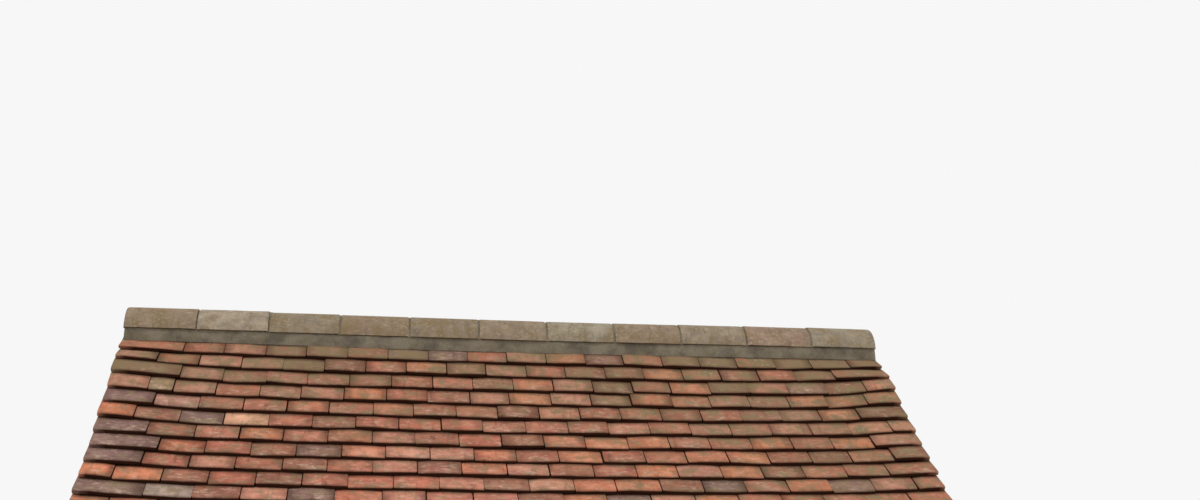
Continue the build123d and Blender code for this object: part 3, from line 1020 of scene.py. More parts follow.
def tile_faces(each, x, left, width, tail, eaves):
    """Distances down the slope of the tiles' points, and their depths under the tail lines.

    A depth is the profile's thickness, plus one tile thickness for each gauge up from the tail,
    less the camber as a parabola along and across, less the lift of the tail and of the tiling
    at its place. The tops are cut off at the end of the tiling.
    """
    roof = settings("roof")
    tail = tail + each(TAIL_SHIFT) + each(TAIL_SLANT) * (ACROSS - 0.5) * width
    rounding = (each(ROUNDING_SPREAD, (ACROSS.size, 1)) + ROUNDING) * AT_EDGE
    tail = tail + (each(TAIL_UNEVEN, (ACROSS.size, 1)) - rounding) * AT_TAIL
    tail = tail - eaves * EAVES_SETBACK
    long = np.where(eaves, EAVES_LENGTH, roof.tile_length)
    distance = np.maximum(tail - ALONG * long, roof.tiling_end)
    along = np.clip((tail - distance) / long, 0, 1)
    camber = np.abs(each(CAMBER_SPREAD) + CAMBER) * 4 * along * (1 - along)
    cross = (each(CAMBER_SPREAD) + CROSS_CAMBER) * (1 - (2 * ACROSS - 1) ** 2)
    corner = CORNER_DROP * AT_EDGE * (1 - BELOW)
    raised = VERGE_TAIL_LIFT * (np.abs(left + width / 2) > HALF_LENGTH - width)
    tail_lift = (np.abs(each(TAIL_LIFT_SPREAD)) + TAIL_LIFT + raised) * (1 - along)
    twist = each(TWIST) * (ACROSS - 0.5) * (1 - along)
    tilt = np.where(eaves, EAVES_TILT, roof.tile_thickness / roof.gauge)
    step = tilt * (tail - distance) + eaves * EAVES_DEPTH
    depth = BELOW * roof.tile_thickness * TAIL_THICKNESS + step - camber - cross - tail_lift
    depth = depth + twist + corner - lift_of_tiles(x, distance)
    return distance, depth + each(FACE_UNEVEN, depth.shape[1:])


def tile_values(each, verge, x, distance, tints):
    """Tint, soil with painted shade, wear with a painted highlight, and growth at the tiles'
    points.

    A tint runs from one side of a tile to the other. Growth fades evenly down from the ridge,
    and there is more of it in the east, where it is also painted shade.
    """
    patina = np.clip(1 - distance / PATINA_REACH, 0, 1) * (PATINA + each(PATINA_SPREAD))
    # More growth in the east, partly painted shade.
    damp = EAST_GROWTH_AND_SHADE * ease(x, *EAST_GROWTH_AND_SHADE_END) + each(EAST_GROWTH_AND_SHADE_SPREAD)
    joint = np.clip(JOINT_SOIL + each(JOINT_SOIL_SPREAD), 0, 0.9) * AT_EDGE
    # Wear of the tail arris, which is also a painted highlight.
    wear_and_light = np.clip(WEAR_AND_LIGHT + each(WEAR_AND_LIGHT_SPREAD, (ACROSS.size, 1)), 0, 1)
    share = ACROSS[..., None]
    tint = tints[:, None, :1] * (1 - share) + tints[:, None, 1:] * share
    # The soil values are dirt with painted shade, and the worn values lime bloom with a painted
    # highlight.
    return {
        "tint": np.broadcast_to(tint, (*x.shape, 3)).reshape(-1, 3),
        "soil_and_shade": (np.maximum(SOIL_AND_SHADE, joint) * np.where(verge, VERGE_SOIL_AND_SHADE, 1.0)).ravel(),
        "worn": (WORN_AND_LIT * (1 - AT_EDGE) * wear_and_light).ravel(),
        "moss": np.clip(patina + damp, 0, GROWTH_MOST).ravel(),
    }


def tiles_of_slope(side, seed):
    """All tiles of a slope as one shape, each its profile carried across its width."""
    random = np.random.default_rng(seed)
    *placing, tints = laid_courses(random, side > 0)
    left, width, tail, eaves = (column[:, None, None] for column in placing)
    each = partial(differences, random, len(left))
    x, verge = tile_sides(random, each, left, width, tail)
    distance, depth = tile_faces(each, x, left, width, tail, eaves)
    values = tile_values(each, verge, x, distance, tints)
    rows, columns = depth.shape[1:]
    groups = [grid_quads(rows, columns)[0], end_rings(rows, columns)]
    return repeated(on_slope(x, distance, depth, side), groups, values)


class LYCHGATE_OT_roof_tiles(Operator):
    """Hang the plain tiles of both slopes"""

    bl_idname = "lychgate.roof_tiles"
    bl_label = "Roof tiles"

    def execute(self, context):
        for name, side, seed in (("front", -1, 61), ("back", 1, 62)):
            tiles = tiles_of_slope(side, seed)
            node_name = f"{name}_roof_tiles"
            make_piece(f"{name}_plain_tiles", tiles, "plain_tile_clay", node_name, sharp=38.0)
        return {"FINISHED"}


# Verges


# Strip of mortar under the verge tiles: where it starts down the slope, the step between its
# outlines, its two sides in from the roof's end, its top under the tail lines, its unevenness
# outside and on top, and the distance round it.
STRIP_START = 0.12
STRIP_STEP = 0.02
STRIP_SIDES = (0.15, 0.011)
STRIP_TOP = 27 * MM
STRIP_UNEVEN = (1.4 * MM, 0.8 * MM)
STRIP_GIRTH = 0.3


def verge_mortar(random, side, end):
    """Mortar between the undercloak and the verge tiles: a four-sided strip down the slope,
    uneven outside, its top a little under the tiles' tail lines and lifted with them."""
    roof = settings("roof")
    last = board_end()
    distance = stations(STRIP_START, last, STRIP_STEP)[:, None]
    rows = len(distance)
    inner, outer = HALF_LENGTH - np.array(STRIP_SIDES)
    rough = random.normal(0, STRIP_UNEVEN[0], (rows, 1))
    inside = np.full((rows, 1), inner)
    across = np.concatenate([inside, outer + rough, outer + np.roll(rough, 2), inside], 1)
    top = STRIP_TOP - lift_of_tiles(across, distance)
    top = top + random.normal(0, STRIP_UNEVEN[1], (rows, 4))
    depth = np.where(np.arange(4) < 2, roof.tiling_depth - 0.5 * MM, top)
    points = on_slope(end * across, distance, depth, side)
    return bar(points, distance[:, 0], np.linspace(0, STRIP_GIRTH, 5))


# Tiles of the undercloak: where they start down the slope, their length with and without the
# joint, the least length of the last one, their inner ends in from the roof's end, their worn
# edges, the spread of their places and of their brightness, and their soil and growth.
CLOAK_START = 0.11
CLOAK_PITCH = 0.262
CLOAK_LENGTH = 0.259
CLOAK_LEAST = 0.05
CLOAK_INNER = 0.084
CLOAK_WORN = 1 * MM
CLOAK_SHIFT = 1 * MM
CLOAK_BRIGHT = (0.9, 0.08)
CLOAK_SOIL = 0.12
CLOAK_GROWTH = 0.1


def even_clay(tint, soil_and_shade, growth):
    """Values at the vertices of a tile that has the same ones all over."""
    return {"tint": tint[None, None], "soil_and_shade": np.array([[soil_and_shade]]), "moss": np.array([[growth]])}


def undercloak(random, side, end):
    """Tiles laid face down along a verge, each a flat bar cut square to the slope."""
    roof = settings("roof")
    tones = settings("colours")
    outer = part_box("front_undercloaks")[1].x
    inner = HALF_LENGTH - CLOAK_INNER
    last = board_end()
    shapes = []
    for start in np.arange(CLOAK_START, last - CLOAK_LEAST, CLOAK_PITCH):
        stop = min(start + CLOAK_LENGTH, last)
        distance = np.array([start, (start + stop) / 2, stop])
        outline = squared(3, outer - inner - CLOAK_SHIFT, roof.tile_thickness, CLOAK_WORN)
        outline[..., 0] += random.normal(0, CLOAK_SHIFT)
        depth = roof.tiling_depth + roof.tile_thickness / 2 - outline[..., 1]
        x = end * ((inner + outer) / 2 + outline[..., 0])
        points = on_slope(x, distance[:, None], depth, side)
        tint = np.array(getattr(tones, random.choice(PALETTE[:4]))[:])
        tint = tint * random.normal(*CLOAK_BRIGHT)
        values = even_clay(tint, CLOAK_SOIL, CLOAK_GROWTH)
        shapes.append(bar(points, distance, around_outline(outline[0]), values))
    return join(shapes)


class LYCHGATE_OT_verges(Operator):
    """Lay the undercloaks and the mortar under the verge tiles"""

    bl_idname = "lychgate.verges"
    bl_label = "Verges"

    def execute(self, context):
        random = np.random.default_rng(71)
        for name, side in FRONT_BACK:
            strips = join([verge_mortar(random, side, end) for end in (-1, 1)])
            make_piece(f"{name}_verge_mortar", strips, "ridge_mortar")
            cloaks = join([undercloak(random, side, end) for end in (-1, 1)])
            node_name = f"{name}_undercloaks"
            make_piece(f"{name}_undercloak_tiles", cloaks, "plain_tile_clay", node_name)
        return {"FINISHED"}


# Ridge


RIDGE_RADIUS = 0.125
RIDGE_WALL = 0.014
RIDGE_COUNT = 11
RIDGE_PITCH = 2 * HALF_LENGTH / RIDGE_COUNT
RIDGE_ARC_POINTS = 19
RIDGE_SINK = 0.7

# Differences between the ridge tiles: the bounds of the half joint at each end and of what is off
# the radius, in mm, and the spreads of the sideways place, the tilt and the roughness.
RIDGE_HALF_JOINT = (3.0, 5.5)
RIDGE_UNDER = (0.2, 1.8)
RIDGE_SHIFT = 1.3 * MM
RIDGE_TILT = 0.0045
RIDGE_ROUGH = 0.35 * MM

# Worn ends of a ridge tile: their length and how far they are drawn in. All the tiles lie a
# little lower than the CAD ones, to stay in their box.
RIDGE_WORN_LENGTH = 4 * MM
RIDGE_WORN = 1.6 * MM
RIDGE_SETTLED = 0.8 * MM

# The most of dark red in a ridge tile's tint, the mean and spread of its brightness, its soil,
# and the mean, spread and most of its growth.
RIDGE_SECOND_TONE = 0.45
RIDGE_BRIGHT = (1.0, 0.08)
RIDGE_SOIL = 0.06
RIDGE_GROWTH = (0.3, 0.12)
RIDGE_GROWTH_MOST = 0.6


def ridge_height(x):
    """Height of the axis of the ridge tiles, sunk with the roof as a squared cosine along it."""
    sink = settings("roof").sag * RIDGE_SINK * np.cos(np.pi * x / (2 * HALF_LENGTH)) ** 2
    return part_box("ridge_tiles")[0].z - sink


def ridge_tile(random, number):
    """A half-round tile: its outer arc and inner arc make a closed outline, carried along X.

    Each has its own joints and radius, a slight tilt along the ridge and a sideways shift.
    """
    middle = (number + 0.5) * RIDGE_PITCH - HALF_LENGTH
    half = RIDGE_PITCH / 2 - random.uniform(*RIDGE_HALF_JOINT) * MM
    radius = RIDGE_RADIUS - random.uniform(*RIDGE_UNDER) * MM
    arc = circle_points(np.linspace(0, np.pi, RIDGE_ARC_POINTS))
    outline = np.concatenate([arc * radius, arc[::-1] * (radius - RIDGE_WALL)])
    near_end = half - RIDGE_WORN_LENGTH
    along = np.array([-half, -near_end, -half / 2, 0, half / 2, near_end, half])
    drawn = np.where(np.abs(along) > near_end, 1 - RIDGE_WORN / radius, 1.0)[:, None]
    shift = random.normal(0, RIDGE_SHIFT)
    tilt = random.normal(0, RIDGE_TILT)
    rough = random.normal(0, RIDGE_ROUGH, (len(along), len(outline)))
    x = np.broadcast_to((middle + along)[:, None], rough.shape)
    y = shift + outline[:, 0] * drawn + rough
    height = ridge_height(middle) - RIDGE_SETTLED + along[:, None] * tilt
    z = height + outline[:, 1] * drawn + rough
    return ring_bar(np.stack([x, y, z], -1), ridge_values(random))


def ridge_values(random):
    """Tint, soil and growth of a ridge tile: the ridge colour with a share of dark red."""
    tones = settings("colours")
    share = random.uniform(0.0, RIDGE_SECOND_TONE)
    tint = np.array(tones.ridge[:]) * (1 - share) + np.array(tones.brown[:]) * share
    tint = tint * random.normal(*RIDGE_BRIGHT)
    growth = np.clip(random.normal(*RIDGE_GROWTH), 0, RIDGE_GROWTH_MOST)
    return even_clay(tint, RIDGE_SOIL, growth)


def ring_bar(points, values):
    """Closes a grid whose outline goes out along one arc and back along the other, so that each
    end is a strip of quads between the arcs. It has no places in the grain."""
    rows, columns = points.shape[:2]
    quads = grid_quads(rows, columns)[0]
    out = np.arange(columns // 2 - 1)
    back = columns - 1 - out
    strip = np.stack([out, out + 1, back - 1, back], -1)
    quads = np.concatenate([quads, strip[:, ::-1], strip + (rows - 1) * columns])
    spread = at_vertices(values, rows, columns)
    return Shape(points.reshape(-1, 3), [quads], [np.zeros((*quads.shape, 2))], spread).outwards()


# Right half of the outline of the ridge mortar, as Y and Z from the axis of the tiles: its
# hollow underside, the lip under the edges of the tiles, and its way up to the arc that fills
# them.
BED_LIP = RIDGE_RADIUS - 5 * MM
BED_OUTLINE = np.array([
    (0.03, -0.03),
    (BED_LIP - 9 * MM, -0.062),
    (BED_LIP, -0.057),
    (BED_LIP + 1 * MM, -0.03),
    (BED_LIP - 2 * MM, -3 * MM),
])
BED_STEP = 0.022
BED_ARC_POINTS = 13
BED_END = 6 * MM
BED_UNEVEN = 6 * MM
BED_ROUGH = 0.7 * MM


def ridge_bed(random):
    """Mortar of the ridge: an outline carried along X that fills the tiles and comes out under
    their edges as an uneven lip on the top courses."""
    reach = HALF_LENGTH - BED_END
    x = stations(-reach, reach, BED_STEP)
    arc = circle_points(np.linspace(0, np.pi, BED_ARC_POINTS))
    core = arc * (RIDGE_RADIUS - RIDGE_WALL - 1 * MM)
    outline = np.concatenate([BED_OUTLINE, core, BED_OUTLINE[::-1] * np.array([-1, 1])])
    slow = waver(random, len(x), len(outline), BED_UNEVEN) - BED_UNEVEN / 2
    fine = random.normal(0, BED_ROUGH, (len(x), len(outline)))
    outward = outline / np.linalg.norm(outline, axis=1)[:, None]
    below = outline[:, 1:] < 0
    moved = outline + outward * (slow + fine)[..., None] * below
    height = moved[..., 1] + ridge_height(x)[:, None] - 0.5 * MM
    along = np.broadcast_to(x[:, None], height.shape)
    points = np.stack([along, moved[..., 0], height], -1)
    return bar(points, x, around_outline(outline))


# Joints of the ridge: how far the mortar stands under the tiles' faces, its unevenness and half
# its width, how far the end joints are set in, how far all go past the half round, and the
# distance round one.
JOINT_UNDER = 5.5 * MM
JOINT_UNEVEN = 4 * MM
JOINT_HALF_WIDTH = 8 * MM
JOINT_END = 9 * MM
JOINT_PAST = 0.02
JOINT_GIRTH = 0.05


def ridge_joints(random):
    """Mortar in the joints of the ridge tiles: half rings between one tile and the next, a
    little under the tiles' faces and uneven."""
    turn = np.linspace(-JOINT_PAST, np.pi + JOINT_PAST, RIDGE_ARC_POINTS)
    around = circle_points(turn)
    bore = np.full((RIDGE_ARC_POINTS, 2), RIDGE_RADIUS - RIDGE_WALL - 2 * MM)
    across = np.array([-1, 1, 1, -1]) * JOINT_HALF_WIDTH
    shapes = []
    for number in range(RIDGE_COUNT + 1):
        middle = number * RIDGE_PITCH - HALF_LENGTH
        if number in (0, RIDGE_COUNT):
            middle -= np.sign(middle) * JOINT_END
        face = RIDGE_RADIUS - JOINT_UNDER + waver(random, RIDGE_ARC_POINTS, 2, JOINT_UNEVEN)
        ring = np.concatenate([face, bore], 1)
        x = np.broadcast_to(middle + across, ring.shape)
        z = ring * around[:, 1:] + ridge_height(middle) - 1 * MM
        points = np.stack([x, ring * around[:, :1], z], -1)
        shapes.append(bar(points, turn * RIDGE_RADIUS, np.linspace(0, JOINT_GIRTH, 5)))
    return join(shapes)


class LYCHGATE_OT_ridge(Operator):
    """Bed the half-round ridge tiles in mortar"""

    bl_idname = "lychgate.ridge"
    bl_label = "Ridge"

    def execute(self, context):
        random = np.random.default_rng(81)
        tiles = join([ridge_tile(random, number) for number in range(RIDGE_COUNT)])
        make_piece("ridge_half_rounds", tiles, "ridge_tile_clay", "ridge_tiles", sharp=50.0)
        make_piece("ridge_mortar_bed", ridge_bed(random), "ridge_mortar", "ridge_bedding")
        make_piece("ridge_mortar_joints", ridge_joints(random), "ridge_mortar")
        return {"FINISHED"}


# Roof timbers


BOARD_STEP = 0.35
BOARD_WORN = 2.5 * MM
BOARD_UNEVEN = 0.6 * MM
BOARD_HALF_JOINT = 0.5 * MM


def roof_board(random, start, stop, side):
    """One roof board: a squared outline across the slope, carried along the ridge. The boards
    end where the wall plates do, at the barge boards."""
    roof = settings("roof")
    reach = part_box("front_wall_plate")[1].x
    x = stations(-reach, reach, BOARD_STEP)
    outline = squared(len(x), stop - start, roof.board_thickness, BOARD_WORN)
    outline = uneven(outline, random, BOARD_UNEVEN)
    distance = (start + stop) / 2 + outline[..., 0]
    depth = roof.tiling_depth + roof.board_thickness / 2 - outline[..., 1]
    points = on_slope(x[:, None], distance, depth, side)
    return grained(random, points, x, outline[0])


class LYCHGATE_OT_roof_boards(Operator):
    """Lay the boards that the tiles hang on"""

    bl_idname = "lychgate.roof_boards"
    bl_label = "Roof boards"

    def execute(self, context):
        roof = settings("roof")
        random = np.random.default_rng(91)
        start = slope_distance(0.0, roof.tiling_depth + roof.board_thickness) + 2 * MM
        end = board_end()
        edges = np.linspace(start, end, int(round((end - start) / roof.board_width)) + 1)
        for name, side in FRONT_BACK:
            pairs = zip(edges[:-1] + BOARD_HALF_JOINT, edges[1:] - BOARD_HALF_JOINT)
            boards = join([roof_board(random, *pair, side) for pair in pairs])
            make_piece(f"{name}_boarding", boards, "roof_boarding", f"{name}_roof_boards")
        return {"FINISHED"}


BARGE_DEPTH = 0.19
BARGE_HOLLOW = 0.125
BARGE_STEP = 0.055


def barge_board(random, side, end):
    """Barge board: down the slope between two depths, with a hollow cut out of its foot.

    Near the foot its underside follows a circle about the foot's lower corner, so the height of
    the board there is the full one less the height of that circle.
    """
    roof = settings("roof")
    low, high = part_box("east_back_barge_board")
    top = roof.tiling_depth + roof.tile_thickness
    last = board_end()
    stops = last - BARGE_HOLLOW * np.cos(np.linspace(0, np.pi / 2, 9))
    share = stations(0.0, 1.0, BARGE_STEP, np.clip(stops / last, 0, 1))
    from_end = (1 - share) * last
    height = BARGE_DEPTH - np.sqrt(np.clip(BARGE_HOLLOW**2 - from_end**2, 0, None))
    outline = squared(len(share), high.x - low.x, BARGE_DEPTH, settings("oak").worn)
    depth = top + height[:, None] / 2 - outline[..., 1] * (height / BARGE_DEPTH)[:, None]
    start = slope_distance(0.0, depth) + 0.4 * MM
    distance = start + share[:, None] * (last - start)
    x = end * ((low.x + high.x) / 2 + outline[..., 0])
    points = on_slope(x, distance, depth, side)
    return grained(random, points, share * last, outline[0])


# How far the rafters lie under the boards, and the top of the ridge board under that of the
# CAD one.
UNDER_BOARDS = 0.3 * MM
RIDGE_BOARD_DROP = 24 * MM


class LYCHGATE_OT_rafters(Operator):
    """Raise the rafters, the ridge board and the barge boards"""

    bl_idname = "lychgate.rafters"
    bl_label = "Rafters"

    def execute(self, context):
        roof = settings("roof")
        random = np.random.default_rng(101)
        top = roof.tiling_depth + roof.board_thickness + UNDER_BOARDS
        underside = top + roof.rafter_depth
        low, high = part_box("back_rafters")
        half = roof.rafter_width / 2
        places = np.linspace(low.x + half, high.x - half, roof.rafter_count)
        for name, side in FRONT_BACK:
            members = [
                slope_member(random, x, roof.rafter_width, top, underside, low.y, high.y, side)
                for x in places
            ]
            oak_piece(join(members), f"{name}_rafters", name=f"{name}_oak_rafters")
        low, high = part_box("ridge_board")
        height = high.z - RIDGE_BOARD_DROP - low.z
        ends = [(x, 0.0, low.z + height / 2) for x in (low.x, high.x)]
        board = timber(random, *ends, high.y - low.y, height, UP)
        oak_piece(board, "ridge_board", name="oak_ridge_board")
        for end_name, end in WEST_EAST:
            for name, side in FRONT_BACK:
                board = barge_board(random, side, end)
                oak_piece(board, f"{end_name}_{name}_barge_board")
        return {"FINISHED"}


# Frame


def middle_line(low, high, axis):
    """Both ends of the line through the middle of a box along an axis."""
    start, end = (low + high) / 2, (low + high) / 2
    start[axis], end[axis] = low[axis], high[axis]
    return start, end


def box_timber(random, node_name, axis, chamfer=None, stops=()):
    """A straight timber that fills the box of a CAD node, its grain along one axis."""
    low, high = (np.array(corner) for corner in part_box(node_name))
    size = high - low
    up = 2 if axis < 2 else 1
    across = 3 - axis - up
    ends = middle_line(low, high, axis)
    return timber(random, *ends, size[across], size[up], np.eye(3)[up], chamfer, stops)


class LYCHGATE_OT_frame(Operator):
    """Set up the sills, posts, tie beams, wall plates and king posts"""

    bl_idname = "lychgate.frame"
    bl_label = "Frame"

    def execute(self, context):
        random = np.random.default_rng(111)
        for name in ("front_wall_plate", "back_wall_plate"):
            oak_piece(box_timber(random, name, 0), name)
        for end in ("west", "east"):
            for part in ("sill_beam", "tie_beam"):
                name = f"{end}_{part}"
                oak_piece(box_timber(random, name, 1), name)
            for part in ("front_post", "middle_post", "back_post"):
                name = f"{end}_{part}"
                low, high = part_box(name)
                stops = chamfer_places(high.z - low.z)
                oak_piece(box_timber(random, name, 2, chamfer_between_stops, stops), name)
            name = f"{end}_king_post"
            post = box_timber(random, name, 2)
            roof_line = slope_height(np.abs(post.vertices[:, 1]), under_rafters() + 1 * MM)
            post.vertices[:, 2] = np.minimum(post.vertices[:, 2], roof_line)
            oak_piece(post, name)
        return {"FINISHED"}


# Curved braces


# A kind of brace: how far its head reaches along the timber over it, how far its foot stands
# from the level timber that it is set out from, the rise of its arc, its depth, and the number
# of outlines along it.
Brace = namedtuple("Brace", "head foot rise depth rows")
ARCH_BRACE = Brace(head=0.64, foot=0.72, rise=0.095, depth=0.13, rows=15)
SIDE_BRACE = Brace(head=0.43, foot=0.25, rise=0.055, depth=0.1, rows=15)
STRUT = Brace(head=0.525, foot=0.15, rise=0.045, depth=0.095, rows=13)

# Worn edge of a brace in those of other timbers, and how far its ends go into what they join.
BRACE_WEAR = 1.6
BRACE_HOUSING = 2 * MM

# Directions into a level timber over a brace and into an upright one beyond it.
SQUARE_CUTS = ((0, 1), (1, 0))


def arc_through(start, end, rise):
    """Centre and radius of an arc in a plane, and its angles at the start and at the end.

    The arc's middle stands off the chord by the rise, to the left of the way from start to end.
    Its radius is the chord squared over eight rises, plus half a rise.
    """
    chord = end - start
    span = np.linalg.norm(chord)
    left = np.array([-chord[1], chord[0]]) / span
    radius = span**2 / (8 * rise) + rise / 2
    centre = (start + end) / 2 - left * (radius - rise)
    half = np.arcsin(span / 2 / radius)
    first = np.arctan2(left[1], left[0])
    return centre, radius, first + half, first - half


def arc_cut(centre, radius, point, normal, near):
    """Angles at which circles about a centre cross the line through a point square to a normal.

    They lie on both sides of the normal's angle by the arc cosine of the line's distance from
    the centre over the radius. Of the two, the one nearer to a given angle counts.
    """
    away = np.arccos(np.clip((point - centre) @ normal / radius, -1, 1))
    middle = np.arctan2(normal[1], normal[0])
    turns = np.stack([middle - away, middle + away])
    apart = (turns - near + np.pi) % (2 * np.pi) - np.pi
    return near + np.where(np.abs(apart[0]) < np.abs(apart[1]), apart[0], apart[1])


def curved_brace(random, kind, ends, cuts, plane):
    """A brace: a squared outline carried along an arc and cut to the faces that it joins.

    Each point of the outline keeps its distance from the arc's centre, and turns about it in
    even shares from the face at the foot to the face at the head. ends holds the head and the
    foot in the arc's plane, and cuts the two faces' directions there, into the timbers joined.
    plane holds a point of the plane, its level direction and the direction across it.
    """
    oak = settings("oak")
    head, foot = np.array(ends, float)
    head_cut, foot_cut = np.array(cuts, float)
    centre, radius, head_turn, foot_turn = arc_through(head, foot, kind.rise)
    outline = squared(kind.rows, oak.brace_thickness, kind.depth, BRACE_WEAR * oak.worn)
    outline = uneven(outline, random, CURVED_UNEVEN)
    reach = radius + outline[..., 1]
    first = arc_cut(centre, reach, head + BRACE_HOUSING * head_cut, head_cut, head_turn)
    last = arc_cut(centre, reach, foot + BRACE_HOUSING * foot_cut, foot_cut, foot_turn)
    turn = last + np.linspace(0, 1, kind.rows)[:, None] * (first - last)
    flat = centre + reach[..., None] * circle_points(turn)
    origin, level, across = np.array(plane, float)
    points = origin + flat[..., :1] * level + flat[..., 1:] * UP + outline[..., :1] * across
    return grained(random, points, radius * (turn - turn[0]).mean(1), outline[0])


class LYCHGATE_OT_braces(Operator):
    """Fit the curved arch braces, side braces and struts"""

    bl_idname = "lychgate.braces"
    bl_label = "Braces"

    def execute(self, context):
        random = np.random.default_rng(121)
        self.arch_braces(random)
        self.side_braces(random)
        return {"FINISHED"}

    def arch_braces(self, random):
        """The braces from the corner posts to the wall plates."""
        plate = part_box("back_wall_plate")
        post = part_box("east_back_post")
        middle_y = (post[0].y + post[1].y) / 2
        ends = (
            (post[0].x - ARCH_BRACE.head, plate[0].z),
            (post[0].x, plate[0].z - ARCH_BRACE.foot),
        )
        for name, row in FRONT_BACK:
            braces = []
            for end in (-1, 1):
                plane = ((0, row * middle_y, 0), (end, 0, 0), (0, 1, 0))
                braces.append(curved_brace(random, ARCH_BRACE, ends, SQUARE_CUTS, plane))
            oak_piece(join(braces), f"{name}_arch_braces")

    def side_braces(self, random):
        """The braces from the corner posts to the tie beams, and the struts over them from the
        king posts to the rafters."""
        roof = settings("roof")
        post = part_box("east_back_post")
        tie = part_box("east_tie_beam")
        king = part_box("east_king_post")
        middle_x = (post[0].x + post[1].x) / 2
        ends = (
            (post[0].y - SIDE_BRACE.head, tie[0].z),
            (post[0].y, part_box("east_rails")[1].z + SIDE_BRACE.foot),
        )
        under = under_rafters()
        reach = king[1].y + STRUT.head
        strut_ends = (
            (reach, float(slope_height(reach, under))),
            (king[1].y, tie[1].z + STRUT.foot),
        )
        slope = roof.pitch - slope_distance(reach, under) / roof.sweep
        strut_cuts = ((np.sin(slope), np.cos(slope)), (-1, 0))
        for name, end in WEST_EAST:
            braces, struts = [], []
            for row in (-1, 1):
                plane = ((end * middle_x, 0, 0), (0, row, 0), (1, 0, 0))
                braces.append(curved_brace(random, SIDE_BRACE, ends, SQUARE_CUTS, plane))
                struts.append(curved_brace(random, STRUT, strut_ends, strut_cuts, plane))
            oak_piece(join(braces), f"{name}_side_braces")
            oak_piece(join(struts), f"{name}_struts")


# Rails and balusters


BALUSTERS_PER_BAY = 5
BALUSTER = 0.045
RAIL_STEP = 0.13
RAIL_ROUND = 0.022
RAIL_UNEVEN = 1.0 * MM


def round_topped_rail(random, start, end, width, height):
    """A hand rail: flat below and at the sides, its two top edges quarter rounds."""
    along = stations(0.0, np.linalg.norm(np.subtract(end, start)), RAIL_STEP)
    round_middle = np.array([width / 2 - RAIL_ROUND, height / 2 - RAIL_ROUND])
    right = round_middle + RAIL_ROUND * circle_points(np.linspace(0, np.pi / 2, 6))
    left = right[::-1] * np.array([-1, 1])
    worn = settings("oak").worn
    foot = np.array([
        (-width / 2, worn - height / 2), (worn - width / 2, -height / 2),
        (width / 2 - worn, -height / 2), (width / 2, worn - height / 2),
    ])
    outline = np.concatenate([right, left, foot])
    outlines = np.broadcast_to(outline, (len(along), *outline.shape))
    outlines = uneven(outlines, random, RAIL_UNEVEN)
    return grained(random, carried(outlines, along, start, end, UP), along, outline)


class LYCHGATE_OT_screens(Operator):
    """Fit the hand rails and balusters of both sides"""

    bl_idname = "lychgate.screens"
    bl_label = "Side screens"

    def execute(self, context):
        random = np.random.default_rng(131)
        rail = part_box("east_rails")
        low_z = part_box("east_balusters")[0].z
        inner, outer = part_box("east_middle_post")[1].y, rail[1].y
        middle = (rail[0] + rail[1]) / 2
        size = rail[1] - rail[0]
        gap = (outer - inner) / (BALUSTERS_PER_BAY + 1)
        for name, end in WEST_EAST:
            rails, bars = [], []
            for row in (-1, 1):
                ends = [(end * middle.x, row * y, middle.z) for y in (inner, outer)]
                rails.append(round_topped_rail(random, *ends, size.x, size.z))
                for number in range(1, BALUSTERS_PER_BAY + 1):
                    y = row * (inner + number * gap)
                    ends = [(end * middle.x, y, z) for z in (low_z, rail[0].z)]
                    bars.append(timber(random, *ends, BALUSTER, BALUSTER, (0, 1, 0)))
            oak_piece(join(rails), f"{name}_rails", name=f"{name}_hand_rails")
            oak_piece(join(bars), f"{name}_balusters", name=f"{name}_square_balusters")
        return {"FINISHED"}


# Pegs


# Pegs: the number of their sides and the most that these are turned, how far the pegs go into the
# timber, the worn end, the taper of the radius at the root, before the end and at it, and between
# which shares of the peg end's length they stand proud.
PEG_SIDES = 8
PEG_TURN = 0.7
PEG_ROOT = 8 * MM
PEG_WORN = 1.5 * MM
PEG_TAPER = (1.0, 0.97, 0.78)
PEG_PROUD = (0.4, 1.2)

# Places of the pegs: half the distance between the two of a post and its share at a middle post,
# up from a post's foot and down from its head, in from the edges of timbers, and along the two
# timbers that a brace joins from its ends.
PEG_PAIR = 0.035
MIDDLE_PAIR = 0.8
FOOT_PEG = 0.06
HEAD_PEG = 0.055
EDGE_PEG = 0.03
BEAM_PEG = 0.035
KING_PEG = 0.04
PLATE_PEG = 0.04
SIDE_PEGS = (-0.03, 0.07)
ARCH_HEAD_PEGS = (-0.06, 0.06)
ARCH_FOOT_PEGS = (0.08, -0.02)


def peg(random, place, direction):
    """A peg end: an eight-sided outline carried outwards, a little smaller at its end."""
    oak = settings("oak")
    turn = np.linspace(0, 2 * np.pi, PEG_SIDES + 1)[:-1] + random.uniform(0, PEG_TURN)
    ring = circle_points(turn)
    proud = oak.peg_proud * random.uniform(*PEG_PROUD)
    along = np.array([-PEG_ROOT, proud - PEG_WORN, proud])
    radius = oak.peg / 2 * np.array(PEG_TAPER)[:, None, None]
    outward = ring[:, :1] * UP + ring[:, 1:] * np.cross(direction, UP)
    points = place + along[:, None, None] * direction + radius * outward
    return grained(random, points, along, ring * oak.peg / 2)


def faces_across(box, axis):
    """The two faces of a box across an axis, each as its place and its direction."""
    out = np.eye(3)[axis]
    return (box[0][axis], -out), (box[1][axis], out)


